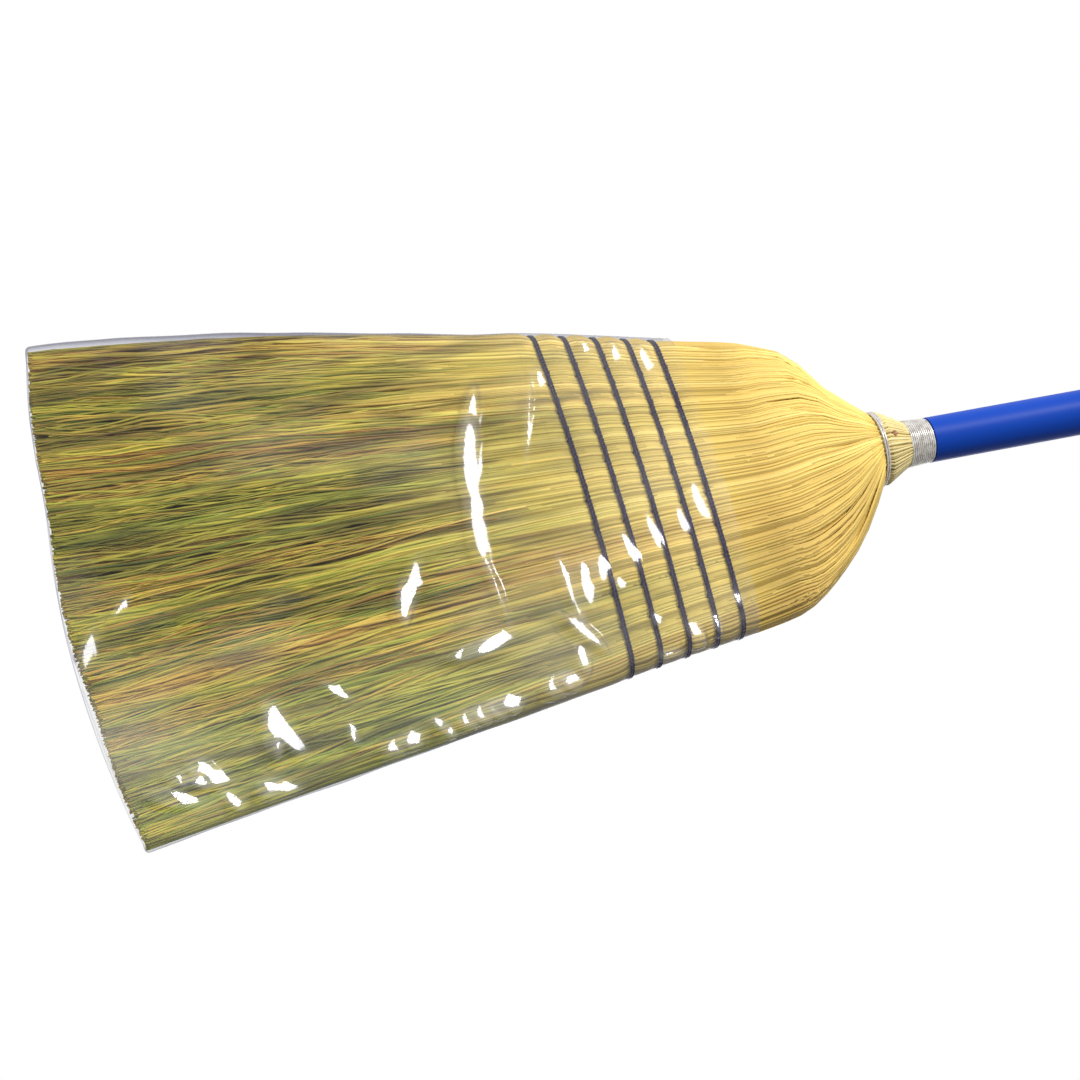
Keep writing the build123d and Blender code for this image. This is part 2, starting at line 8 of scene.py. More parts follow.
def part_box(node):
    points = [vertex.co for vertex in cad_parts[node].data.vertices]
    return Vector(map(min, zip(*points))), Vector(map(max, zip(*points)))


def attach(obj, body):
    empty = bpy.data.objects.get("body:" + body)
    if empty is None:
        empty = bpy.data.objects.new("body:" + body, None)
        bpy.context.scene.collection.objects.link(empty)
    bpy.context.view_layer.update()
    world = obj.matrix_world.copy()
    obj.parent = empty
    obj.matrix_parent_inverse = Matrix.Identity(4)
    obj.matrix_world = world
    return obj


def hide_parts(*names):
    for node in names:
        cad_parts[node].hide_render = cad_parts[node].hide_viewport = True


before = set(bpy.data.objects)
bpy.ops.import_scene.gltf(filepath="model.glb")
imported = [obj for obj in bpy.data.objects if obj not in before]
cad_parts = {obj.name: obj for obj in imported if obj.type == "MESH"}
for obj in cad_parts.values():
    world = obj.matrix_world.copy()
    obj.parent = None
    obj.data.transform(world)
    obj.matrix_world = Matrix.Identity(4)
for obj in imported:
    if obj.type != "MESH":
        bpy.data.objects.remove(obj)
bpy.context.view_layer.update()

# Lengths are in millimetres and turn into metres where a mesh or camera is made.
MM = 0.001
UPRIGHT = np.array([0.0, 0.0, 1.0])


def box_mm(node):
    """Lowest and highest corner of a node, in millimetres."""
    return np.array(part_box(node)) / MM


# Head: heights and sizes that the frame gives
ROW_COUNT = 5
root_z, crease_z = box_mm("front_cover")[:, 2]
root_half_width = box_mm("right_shoulder")[1, 0]
handle_foot_z = box_mm("neck_collar")[1, 2]
film_top_z = box_mm("film_sleeve")[1, 2]
row_heights = [np.mean(box_mm(f"stitch_row_{n}")[:, 2]) for n in range(1, ROW_COUNT + 1)]

# Head: the rest of its outline, with the half depths above the tips at the root, shoulder and neck
SHOULDER_Z = 415.0
SHOULDER_HALF_WIDTH = 86.5
NECK_HALF_WIDTH = 24.5
SHOULDER_DOME = 1.9
TIP_HALF_WIDTH = 147.0
TIP_HALF_DEPTH = 22.0
HALF_DEPTHS_ABOVE = (20.0, 20.5, 24.0)
CORE_HALF_DEPTH = 8.0
SEWN_END_ANGLE = math.radians(80)
NECK_END_ANGLE = math.radians(50)
SEWN_MIDDLE_Z = 340.0
LOOSE_MIDDLE_Z = 150.0
LAYERS = {"front": "cover", "back": "cover", "left": "shoulder", "right": "shoulder"}

# Tips: arc and flatness, a notch and shorter straw by middle, width and height, and how ragged they are
TIP_Z = 8.0
TIP_SAGITTA = 15.0
TIP_BEVEL = 0.12
TIP_FLATNESS = 0.65
FLAT_TOP_Z = 200.0
NOTCH = (-50.0, 42.0, 3.5)
SHORT = (65.0, 38.0, 2.2)
RAGGED_LEAST = 1.4
RAGGED_MORE = 3.3
STRAY_FROM = 0.88
STRAY_SHORT = 9.0

# Straw: how the two sides of the head differ, with ranges across as shares of its half width
RIGHT_SPREAD = 5.0
SHOULDER_SHIFT = 3.8
SHIFT_RISE_Z = (300.0, 410.0)
SHIFT_FALL_Z = (450.0, 410.0)
LEFT_SQUARE = 3.0
SQUARE_LOW_Z = 440.0
LEFT_WAIST = 4.5
WAIST_LOW_Z = 452.0
STRAW_BOW = 5.5
BOW_TOP_Z = 270.0
BOW_POWER = 0.6
BOW_ACROSS = (0.5, 0.95)
LEFT_PLUMP = 1.3
PLUMP_Z = (70.0, 150.0)
PLUMP_TOP_RUN = 24.0
LEFT_END = (0.85, 0.98)
RIGHT_END = (0.85, 1.0)

# Straw: browner on the right of the shoulder, partly as painted shade, and paler on the right of the loose
# part, partly as painted light, with the most painted light on its rounded right-hand end
RIGHT_SIDE_X = (-20.0, 75.0)
BROWN_AND_SHADE_Z = (360.0, 410.0)
PALE_AND_LIGHT_Z = (240.0, 180.0)
RIGHT_BROWN_AND_SHADE = 0.75
RIGHT_PALE_AND_LIGHT = 0.30
EDGE_PAINTED_LIGHT = 0.35

# Straw: stalks of the sewn part, fibres of the loose part, and the fill of the core
STALK_COUNT = 640
STALK_RADIUS = 1.12
FIBRE_COUNT = 2500
FIBRE_RADIUS = 0.58
STRAW_SIDES = 4
FILL_STEP = 2.5
FILL_RADIUS = 1.0
FILL_JITTER = 0.8
FILL_BEND = 2.0

# Straw: how strands run, with stations close together where one ends in a sharp cut
SEWN_REACH = 12.0
NECK_LAP = 2.0
ROOT_LAP = 5.0
ROOT_STEP = 0.2
END_STEP = 0.999
FREE_RUN = 170.0
START_SPREAD = 75.0
EMERGE_LOW = 34.0
EMERGE_HIGH = 4.0
PINCH_WIDTH = 4.2
PUFF = 1.3
PUFF_LOOSE = 0.6
PUFF_Z = (445.0, 400.0)
CLUMP = (0.16, 1.6)
LIFT = 0.8
LIFT_LONGER = 1.7
LIFT_PHASE = 2.3
ROUGH_MOST = 1.2
ROUGH_LESS_RIGHT = 0.7
ROUGH_LESS_ROWS = 0.8
DIVE = 3.2
DIVE_RUN = 34.0
NECK_TUCK = 2.8
TUCK_DROP = 9.0
THINNED = 0.62
LAP_THINNED = 0.7

# Collar and wires at the neck: layers of stalks as count, depth and radius
COLLAR_TOP_Z = 507.0
COLLAR_SEAT_TOP_Z = 491.4
COLLAR_SEAT_RADIUS = 21.6
COLLAR_BASE_RADIUS = 22.6
COLLAR_TOP_RADIUS = 14.8
COLLAR_STALK = 1.05
COLLAR_LAYERS = ((66, 0.0, COLLAR_STALK), (58, 1.3, 1.2 * COLLAR_STALK))
BAND_BASE_RADIUS = 13.1
BAND_TOP_RADIUS = 12.0
CORE_WIRE_SEAT = 13.6
WIRE_RADIUS = 0.62
WIRE_PITCH = 1.3
WIRE_GAP = 0.3
WIRE_TUCK = 2.5
WIRE_TUCK_TURN = 1 / 12
WIRE_STEPS = 48

# Twine: wraps, and stitches by share of the way to the next hole, lift off the straw and lean
TWINE_PITCH = 1.5
TWINE_WRAPS = 2
TWINE_START = 1.06
TWINE_LIFT = 0.85
TWINE_STEP = 1.15
STITCH_LIFT = 2.1
STITCH_BESIDE = 1.25
STITCH_PITCH = 9.5
STITCH_EDGE = 14.0
STITCH_RISE = ((0.0, -3.0, 1.0), (0.02, 0.7, 1.0), (0.12, 1.7, 0.75), (0.3, STITCH_LIFT, 0.3))
STITCH_FALL = tuple((1 - share, lift, -lean) for share, lift, lean in reversed(STITCH_RISE))
PLY_OFFSET = 0.37
PLY_RADIUS = 0.45
PLY_TURN = 5.0

# Film: how it lies, with ripples by shortest and longest wave and height
FILM_COLUMNS = (30, 100, 30, 240)
FILM_UP = 246
FILM_LIP_ROWS = 7
FILM_LIP = 3.0
FILM_LOW_GAP = 0.6
FILM_TOP_WAVE = 0.6
FILM_CLOSE = 2.5
FILM_TIGHTER = 1.5
FILM_BOW = 7.5
FILM_OVER_ROWS = 2.1
OVER_ROWS_LOW = 44.0
OVER_ROWS_HIGH = 8.0
FACE_END = (0.78, 0.94)
FILM_RIPPLES = ((90, 200, 0.45), (30, 80, 0.2))
RIPPLE_DRIFT = 20.0
RIPPLE_SWING = 0.6
RIPPLE_SEWN = 0.4
RIPPLE_RUN = 60.0
CREASE_HEIGHT = 5.0
FACET_EDGE = (0.85, 1.6)
# spread of the whitening round each facet: partly stress whitening, partly a painted sheen round the glints
FACET_WHITENING_AND_SHEEN = (0.6, 2.2)
FACET_TURNED = (0.3, 0.6)
BACK_CREASES = 46

# Film: its gloss, and where it is pressed, milky with a painted sheen, and rubbed, in metres as its material
# reads places
FILM_IOR = 1.5
PRESSED_X = (0.05, 0.1)
PRESSED_Z = (0.25, 0.3)
CLOUDY_AND_SHEEN_X = (0.02, 0.09)
MILKY_HAZE_AND_SHEEN = (0.07, 0.17)
RUBBED_X = (0.04, 0.1)
RUBBED_HAZE = 0.07
ROWS_LOW_Z = (0.27, 0.31)
ROWS_HIGH_Z = (0.364, 0.382)
ROWS_HAZE = 0.034

# Camera and key lamp, in the frame's own axes
CAMERA_PLACE = Vector((604.41, -1543.33, -204.40)) * MM
CAMERA_FORWARD = Vector((-0.34134, 0.89744, 0.27945))
CAMERA_DOWN = Vector((0.90089, 0.39718, -0.17509))
CAMERA_LENS = 101.09
CAMERA_SENSOR = 36.0
KEY_PLACE = Vector((-600.0, -1600.0, 1400.0)) * MM
HEAD_MIDDLE = Vector((0.0, 0.0, 250.0)) * MM

# The rest of the studio, with places in metres
BACK_FILL_PLACE = Vector((-0.6, 2.4, 1.6))
BACK_FILL_TARGET = Vector((0, 0, 0.6))
DAYLIGHT_SIDE = Vector((-0.95, -0.25, 0.1))
DAYLIGHT_EDGE = 0.8
ROOM_BRIGHT = 1.25
ROOM_DIM = 0.06
FLOOR_CLEAR = 0.5
FLOOR_REACH = 1.8
FLOOR_DROP = 0.0006


def lerp(low, high, share):
    return low + (high - low) * share


def way(value, start, end):
    """Share of the way from a start to an end, which may be the lower of the two, held at 0 and 1."""
    return np.clip((value - start) / (end - start), 0.0, 1.0)


def ease(value, start, end):
    """Share of the way from a start to an end, easing in and out."""
    share = way(value, start, end)
    return share * share * (3.0 - 2.0 * share)


def hump(x, middle, width, height):
    return height * np.exp(-((x - middle) / width) ** 2)


def unit(vectors):
    return vectors / np.linalg.norm(vectors, axis=-1, keepdims=True)


def stacked(*parts):
    """Values side by side on a last axis."""
    return np.stack(np.broadcast_arrays(*parts), axis=-1)


def level_normals(angle):
    """Level unit vectors at angles round the upright axis."""
    return stacked(np.cos(angle), np.sin(angle), 0.0)


def section(z):
    """Half width, half depth and end angle of the head at heights."""
    z = np.asarray(z, dtype=float)
    rise = crease_z - SHOULDER_Z
    up = way(z, SHOULDER_Z, crease_z)
    side_narrowing = (root_half_width - SHOULDER_HALF_WIDTH) / (SHOULDER_Z - root_z)
    dome = lerp(SHOULDER_HALF_WIDTH, NECK_HALF_WIDTH, up ** SHOULDER_DOME)
    dome -= up * (1 - up) ** 2 * rise * side_narrowing
    heights = (0.0, root_z, SHOULDER_Z, crease_z)
    straight = np.interp(z, heights[:3], (TIP_HALF_WIDTH, root_half_width, SHOULDER_HALF_WIDTH))
    half_width = np.where(z > SHOULDER_Z, dome, straight)
    half_depth = np.interp(z, heights, (TIP_HALF_DEPTH, *HALF_DEPTHS_ABOVE))
    return half_width, half_depth, lerp(SEWN_END_ANGLE, NECK_END_ANGLE, up)


def arc_radii(z):
    """Radii of the section's rounded ends and of its long faces."""
    half_width, half_depth, end_angle = section(z)
    sine = np.sin(end_angle)
    cosine = np.cos(end_angle)
    spare = 1 - cosine - sine
    end_radius = (half_width * (1 - sine) - half_depth * cosine) / spare
    face_radius = (half_depth * (1 - cosine) - half_width * sine) / spare
    return end_radius, face_radius


def flatness(z):
    """Share of its full thickness that the film leaves the head, less towards the tips."""
    return lerp(1.0, TIP_FLATNESS, ease(z, FLAT_TOP_Z, 0.0))


def aside(x, z):
    """How far the straw lies to the right of even; its left-hand shoulder is squarer and then draws in."""
    spread = RIGHT_SPREAD * way(x, 0, TIP_HALF_WIDTH) * way(z, root_z, 0)
    bulge = SHOULDER_SHIFT * ease(z, *SHIFT_RISE_Z) * ease(z, *SHIFT_FALL_Z)
    squarer = LEFT_SQUARE * np.sin(math.tau * way(z, SQUARE_LOW_Z, crease_z))
    waist = LEFT_WAIST * np.sin(math.pi * way(z, WAIST_LOW_Z, crease_z)) ** 2
    return spread + bulge + way(-x, 0, section(z)[0]) * (waist - squarer)


def bevel(y):
    """How much higher the tips end towards the back of the head."""
    return TIP_BEVEL * (y + TIP_HALF_DEPTH * TIP_FLATNESS)


def rim(place, z, outward):
    """Points round the head, and the angles of their normals.

    A place counts arcs round the outline: 0 to 1 is the right-hand end, then the back, the left-hand
    end and, from 3 to 4, the front.
    """
    half_width, half_depth, end_angle = section(z)
    end_radius, face_radius = arc_radii(z)
    arc = np.floor(place) % 4
    at_end = arc % 2 == 0
    start = np.where(at_end, arc * math.pi / 2 - end_angle, (arc - 1) * math.pi / 2 + end_angle)
    span = np.where(at_end, 2 * end_angle, math.pi - 2 * end_angle)
    angle = start + span * (place - np.floor(place))
    radius = np.where(at_end, end_radius, face_radius) + outward
    centre_x = np.where(at_end, (half_width - end_radius) * np.where(arc == 0, 1, -1), 0)
    centre_y = np.where(at_end, 0, (half_depth - face_radius) * np.where(arc == 1, 1, -1))
    x = centre_x + radius * np.cos(angle)
    y = (centre_y + radius * np.sin(angle)) * flatness(z)
    return stacked(x + aside(x, z), y, z), angle


def arc_lengths(z):
    """Lengths of the four arcs round the head at heights."""
    end_angle = section(z)[2]
    end_radius, face_radius = arc_radii(z)
    end = 2 * end_angle * end_radius
    face = (math.pi - 2 * end_angle) * face_radius
    return stacked(end, face, end, face)


def arc_ends(z):
    """Way round the head to the end of each arc, from 0, at one height."""
    return np.concatenate([[0.0], np.cumsum(arc_lengths(z))])


def place_at(share, z):
    """Places at shares of the way round the head, measured at one height."""
    ends = arc_ends(z)
    return np.interp(np.asarray(share) % 1.0 * ends[-1], ends, np.arange(5.0))


def depth_at(x, z):
    """Half the head's thickness at places across its width, at one height."""
    half_width, half_depth, end_angle = section(z)
    end_radius, face_radius = arc_radii(z)
    corner_x = half_width - end_radius * (1 - np.cos(end_angle))
    face = half_depth - face_radius + np.sqrt(np.maximum(face_radius ** 2 - np.square(x), 0))
    reach = np.abs(x) - (half_width - end_radius)
    end = np.sqrt(np.maximum(end_radius ** 2 - reach ** 2, 0))
    return np.where(np.abs(x) <= corner_x, face, end)


def tip_edge(x):
    """Height of the cut edge of the tips at places across the width."""
    x = np.clip(x, -TIP_HALF_WIDTH, TIP_HALF_WIDTH)
    radius = (TIP_HALF_WIDTH ** 2 + TIP_SAGITTA ** 2) / (2 * TIP_SAGITTA)
    return radius - np.sqrt(radius ** 2 - np.square(x)) + hump(x, *NOTCH)


def straw_edge(x):
    """Height where the straw ends: a little short of the film on the right-hand side."""
    return tip_edge(x) + hump(x, *SHORT)


def outer(x, z, start, end):
    """0 up to a share of the head's half width towards +X, and 1 from a larger share of it."""
    return ease(x / section(z)[0], start, end)


def bow(x, z, height):
    """How far the loose straw, or the film over it, swells out on the left-hand side."""
    rise = np.sin(math.pi * way(z, 0, BOW_TOP_Z) ** BOW_POWER)
    return height * outer(-x, z, *BOW_ACROSS) * rise


def pinch(z):
    """How far the stitch rows draw the straw in, from 0 between them to 1 at a row."""
    return np.max([hump(z, row, PINCH_WIDTH, 1.0) for row in row_heights], axis=0)


def plump(x, z):
    """How much further the straw fills the film at the left-hand end, below and between the rows."""
    upright = ease(z, *PLUMP_Z) * ease(z, film_top_z, film_top_z - PLUMP_TOP_RUN)
    return LEFT_PLUMP * outer(-x, z, *LEFT_END) * upright * (1 - pinch(z))


def freed(z):
    """0 where the straw is sewn, and 1 where it is wholly loose."""
    return ease(z, root_z, root_z - FREE_RUN)


def sines(rng, count, shortest, longest):
    """Seeded waves for a smooth scatter: frequencies per millimetre, phases and weights."""
    lengths = np.exp(rng.uniform(math.log(shortest), math.log(longest), count))
    return 1.0 / lengths, rng.random(count), rng.uniform(0.5, 1.0, count)


def scatter(waves, x):
    """Smooth scatter of about -1 to 1 at places."""
    frequency, phase, weight = waves
    turn = np.multiply.outer(np.asarray(x), frequency) + phase
    return np.sum(np.sin(math.tau * turn) * weight, axis=-1) / np.sqrt(np.sum(weight ** 2))


def walls_between(index, following):
    """Four-sided faces between neighbouring runs of points."""
    corners = stacked(index[:, :-1], following[:, :-1], following[:, 1:], index[:, 1:])
    return corners.reshape(-1, 4)


def cell_corners(columns, rows):
    """Corners of a grid's cells, as shares of its width and of its height."""
    across = (np.arange(columns)[:, None] + np.array([0, 1, 1, 0])) / columns
    up = (np.arange(rows)[:, None] + np.array([0, 0, 1, 1])) / rows
    return across, up


def tubes(lines, radii, sides, reference):
    """Points, faces and bake maps of closed tubes along lines (tube, station, xyz)."""
    count, stations = lines.shape[:2]
    along = unit(np.gradient(lines, axis=1))
    side = unit(np.cross(along, reference))
    up = np.cross(side, along)
    turn = math.tau * (np.arange(sides) + 0.5) / sides
    ring = np.cos(turn)[:, None] * up[:, :, None, :] + np.sin(turn)[:, None] * side[:, :, None, :]
    points = lines[:, :, None, :] + radii[:, :, None, None] * ring
    index = np.arange(count * stations * sides).reshape(count, stations, sides)
    walls = walls_between(index, np.roll(index, -1, axis=2))
    caps = np.concatenate([index[:, 0, ::-1], index[:, -1]])
    return points.reshape(-1, 3), [walls, caps], tube_map(count, stations, sides)


def tube_map(count, stations, sides):
    """Bake maps of tubes' walls and caps: each is an upright strip in its own cell, between its caps."""
    columns = math.ceil(math.sqrt(10 * count)) if count > 4 else count
    rows = math.ceil(count / columns)
    tube = np.arange(count)
    left = (tube % columns + 0.1) / columns
    foot = (tube // columns + 0.05) / rows
    width = 0.8 / columns
    height = 0.9 / rows
    across, up = cell_corners(sides, stations - 1)
    u = left[:, None, None, None] + width * across[None, None]
    v = foot[:, None, None, None] + height * up[None, :, None]
    walls = stacked(u, v).reshape(-1, 2)
    turn = math.tau * np.arange(sides) / sides
    round_cap = 0.5 + 0.4 * stacked(np.cos(turn), np.sin(turn))
    low_caps = stacked(left, foot - 0.04 / rows)[:, None] + round_cap * [width, 0.03 / rows]
    high_caps = low_caps + [0, height + 0.05 / rows]
    return [walls, np.concatenate([low_caps, high_caps]).reshape(-1, 2)]


def joined(first, second):
    """One mesh of two: points, faces, bake maps and values."""
    points = np.concatenate([first[0], second[0]])
    faces = [np.concatenate([low, high + len(first[0])]) for low, high in zip(first[1], second[1])]
    maps = [np.concatenate(pair) for pair in zip(first[2], second[2])]
    values = {name: np.concatenate([value, second[3][name]]) for name, value in first[3].items()}
    return points, faces, maps, values


def added(name, data):
    """A new object in the scene."""
    thing = bpy.data.objects.new(name, data)
    bpy.context.scene.collection.objects.link(thing)
    return thing


def add_piece(node, made_of, slot, material, points, faces, maps, values=None, body="broom"):
    """A mesh piece, smooth but for its caps, that rides on a body and stands for a node."""
    name = f"{node}_{made_of}"
    mesh = bpy.data.meshes.new(name)
    corners = np.concatenate([group.ravel() for group in faces])
    sizes = np.concatenate([np.full(len(group), group.shape[1]) for group in faces])
    mesh.vertices.add(len(points))
    mesh.vertices.foreach_set("co", (points * MM).ravel())
    mesh.loops.add(len(corners))
    mesh.loops.foreach_set("vertex_index", corners)
    mesh.polygons.add(len(sizes))
    mesh.polygons.foreach_set("loop_start", np.cumsum(sizes) - sizes)
    mesh.polygons.foreach_set("use_smooth", np.arange(len(sizes)) < len(faces[0]))
    mesh.update(calc_edges=True)
    mesh.uv_layers.new(name="OFBake").data.foreach_set("uv", np.concatenate(maps).ravel())
    for value_name, value in (values or {}).items():
        mesh.attributes.new(value_name, "FLOAT", "POINT").data.foreach_set("value", value)
    mesh.materials.append(material)
    piece = added(name, mesh)
    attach(piece, body)
    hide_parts(node)
    return piece


def straw_values(tone, hue, z, sides):
    """What the straw's material reads at each point: tone, hue, way down the head, and cut ends."""
    cut = np.zeros_like(z)
    cut[:, -1] = z[:, -1] < root_z
    return {
        "tone": np.repeat(tone, z.shape[1] * sides),
        "hue": np.repeat(hue, z.shape[1] * sides),
        "fall": np.repeat(1 - z.ravel() / crease_z, sides),
        "cut": np.repeat(cut.ravel(), sides),
    }


def dulled(points):
    """How much browner the straw is on the right of the shoulder, partly as painted shade; below, it is
    paler there, partly as painted light, most on the rounded right-hand end.
    """
    x, _, z = points.T
    pale = RIGHT_PALE_AND_LIGHT + EDGE_PAINTED_LIGHT * outer(x, z, *RIGHT_END)
    return ease(x, *RIGHT_SIDE_X) * (RIGHT_BROWN_AND_SHADE * ease(z, *BROWN_AND_SHADE_Z) - pale * ease(z, *PALE_AND_LIGHT_Z))


class Straws:
    """A family of stalks or fibres, each with its own place, depth, sway, girth and tone."""

    def __init__(self, count, radius, middle_z, seed, sunk, drift, sway, emerge=0.0):
        rng = np.random.default_rng(seed)
        self.middle_z = middle_z
        self.girth = np.sum(arc_lengths(middle_z))
        self.emerge = emerge
        self.share = (np.arange(count) + rng.uniform(-0.4, 0.4, count)) / count
        self.place = place_at(self.share, middle_z)
        around = self.share * self.girth
        self.radius = radius * rng.uniform(0.75, 1.25, count)
        self.sunk = sunk * rng.random(count) ** 1.3 + self.radius
        stray = 0.6 * rng.normal(size=count)
        self.drift = drift * (stray + scatter(sines(rng, 8, shortest=12, longest=60), around))
        self.sway = sway * rng.uniform(0.3, 1.0, count)
        self.wave = rng.uniform(70, 170, count)
        self.phase = rng.random(count)
        self.clump = scatter(sines(rng, 14, shortest=5, longest=26), around)
        self.tone = np.clip(0.5 + 0.17 * self.clump + 0.2 * rng.normal(size=count), 0, 1)
        patches = scatter(sines(rng, 9, shortest=18, longest=120), around)
        self.hue = np.clip(0.5 + 0.3 * patches + 0.15 * rng.normal(size=count), 0, 1)
        self.rank = rng.permutation(count) / count
        self.short = rng.random(count)

    def pick(self, chosen):
        """The same family with only the chosen members."""
        part = object.__new__(Straws)
        for name, value in self.__dict__.items():
            setattr(part, name, value[chosen] if isinstance(value, np.ndarray) else value)
        return part

    def tops(self):
        """Heights where stalks end: as the neck narrows, fewer of them reach up on its surface."""
        z = np.linspace(SHOULDER_Z - 5, crease_z, 40)
        girth = np.sum(arc_lengths(z), axis=-1)
        ends = np.interp(-self.rank, -girth / girth[0], z)
        return np.where(self.rank < girth[-1] / girth[0], crease_z + NECK_LAP, ends)

    def starts(self):
        """Heights where loose fibres come out from under the stalks."""
        return row_heights[0] - START_SPREAD * self.rank

    def tips(self):
        """Heights of the ragged tips."""
        swing = np.sin(math.tau * (TIP_Z / self.wave + self.phase))
        place = place_at(self.share + (self.drift + self.sway * swing) / self.girth, self.middle_z)
        ends = rim(place, np.full(len(place), TIP_Z), 0.0)[0]
        ragged = RAGGED_LEAST + RAGGED_MORE * self.short + STRAY_SHORT * way(self.short, STRAY_FROM, 1)
        return straw_edge(ends[:, 0]) + bevel(ends[:, 1]) + ragged

    def lines(self, z, tops):
        """Middle lines and outward normals at heights (member, station)."""
        one = slice(None), None
        wave = self.wave[one]
        phase = self.phase[one]
        free = freed(z)
        swing = np.sin(math.tau * (z / wave + phase))
        strayed = free * (self.drift[one] + self.sway[one] * swing)
        place = place_at(self.share[one] + strayed / self.girth, self.middle_z)
        x = rim(place, z, 0.0)[0][..., 0]
        rows = pinch(z)
        puff = PUFF * (1 - rows) * lerp(1.0, PUFF_LOOSE, free) * ease(z, *PUFF_Z)
        clump = self.clump[one] * lerp(*CLUMP, free)
        lift = LIFT * free * np.sin(math.tau * (z / (LIFT_LONGER * wave) + LIFT_PHASE * phase))
        roughest = ROUGH_MOST - ROUGH_LESS_RIGHT * outer(x, z, *RIGHT_END)
        rough = np.minimum(clump + lift, roughest) * (1 - ROUGH_LESS_ROWS * rows)
        swell = bow(x, z, STRAW_BOW) + plump(x, z)
        dive = DIVE * ease(z, tops[one] - DIVE_RUN, tops[one]) * (tops[one] < crease_z)
        tuck = NECK_TUCK * ease(z, crease_z - TUCK_DROP, crease_z + NECK_LAP)
        starts = self.starts()[one]
        hidden = self.emerge * ease(z, starts - EMERGE_LOW, starts - EMERGE_HIGH)
        outward = puff + rough + swell - self.sunk[one] - dive - tuck - hidden
        points, angle = rim(place, z, outward)
        return points, level_normals(angle)

    def girths(self, z):
        """Radii at heights: stalks thin towards the neck and towards their tips."""
        neck = np.sum(arc_lengths(z), axis=-1) / np.sum(arc_lengths(SHOULDER_Z))
        shape = np.where(z > SHOULDER_Z, lerp(THINNED, 1.0, np.clip(neck, 0, 1)), 1.0)
        shape = shape * lerp(1.0, THINNED, ease(z, root_z, 0.0))
        return self.radius[:, None] * shape

    def mesh(self, z, tops=None, lapped=False):
        """Points, faces, bake maps and values of the family, whose first ends may slip into stalks above."""
        lines, normals = self.lines(z, np.full(len(z), crease_z) if tops is None else tops)
        radii = self.girths(z)
        if lapped:
            radii[:, 0] *= LAP_THINNED
        points, faces, maps = tubes(lines, radii, STRAW_SIDES, normals)
        values = straw_values(self.tone, self.hue, z, STRAW_SIDES)
        # the tone takes painted shade on the right of the shoulder and painted light on the right of the
        # loose part
        values["tone"] = np.clip(values["tone"] - dulled(points), 0, 1)
        return points, faces, maps, values


def bundle_mesh(stalks):
    """The sewn part of a layer's stalks, from the root to where each ends at the neck."""
    tops = stalks.tops()
    sewn_top = row_heights[-1] + SEWN_REACH
    sewn = np.insert(np.linspace(root_z, sewn_top, num=25), 1, root_z + ROOT_STEP)
    low = np.tile(sewn, (len(tops), 1))
    high = sewn_top + (tops - sewn_top)[:, None] * np.linspace(0, 1, num=11)[1:]
    return stalks.mesh(np.concatenate([low, high], axis=1), tops)


def bristle_mesh(stalks, fibres):
    """The loose part of a layer: its stalks from the root down, and the fibres from under them."""
    share = np.append(np.linspace(0, END_STEP, num=15), 1.0)
    run = root_z + (stalks.tips() - root_z)[:, None] * share
    run = np.insert(run, 0, root_z + ROOT_LAP, axis=1)
    starts = fibres.starts()
    fine_run = starts[:, None] + (fibres.tips() - starts)[:, None] * share
    return joined(stalks.mesh(run, lapped=True), fibres.mesh(fine_run))


def fill_mesh(seed, reach, top=None):
    """Straight fill within a share of the head's outline, from the root to a top or to the tips."""
    rng = np.random.default_rng(seed)
    half_width, half_depth, _ = section(root_z)
    across = np.arange(-half_width * reach, half_width * reach, FILL_STEP)
    deep = np.arange(-half_depth * reach, half_depth * reach, FILL_STEP)
    x, y = (grid.ravel() for grid in np.meshgrid(across, deep))
    x = x + rng.uniform(-FILL_JITTER, FILL_JITTER, len(x))
    y = y + rng.uniform(-FILL_JITTER, FILL_JITTER, len(y))
    inside = np.abs(y) < depth_at(x / reach, root_z) * reach
    x = x[inside] / half_width
    y = y[inside] / half_depth
    ragged = 1.6 + 3.0 * rng.random(len(x)) + 2 * y ** 2
    bend = FILL_BEND * rng.normal(size=(len(x), 1))
    tip = straw_edge(x * TIP_HALF_WIDTH + bend[:, 0]) + bevel(y * TIP_HALF_DEPTH * TIP_FLATNESS) + ragged
    end = tip if top is None else np.full(len(x), top)
    share = np.append(np.linspace(0, END_STEP, num=8), 1.0)
    z = root_z + (end - root_z)[:, None] * share
    widths, depths, _ = section(z)
    across = x[:, None] * widths
    across = across + aside(across, z) - bow(across, z, STRAW_BOW) + bend * freed(z)
    lines = stacked(across, y[:, None] * depths * flatness(z), z)
    radii = FILL_RADIUS * rng.uniform(0.7, 1.2, (len(x), 1)) * np.linspace(1, 0.7, num=9)
    radii = radii * np.minimum(widths / half_width, 1.0)
    tone = np.clip(rng.normal(0.45, 0.2, len(x)), 0, 1)
    hue = np.clip(rng.normal(0.5, 0.2, len(x)), 0, 1)
    mesh = tubes(lines, radii, STRAW_SIDES, reference=np.array([0.0, 1.0, 0.0]))
    return *mesh, straw_values(tone, hue, z, STRAW_SIDES)


def layer_of(place):
    """Which layer of the head a place on its outline belongs to, as the solids part it."""
    x, y, _ = rim(place, np.full(len(place), 0.5 * (root_z + SHOULDER_Z)), 0.0)[0].T
    parts = [y < -CORE_HALF_DEPTH, y > CORE_HALF_DEPTH, x < 0]
    return np.select(parts, ["front", "back", "left"], "right")


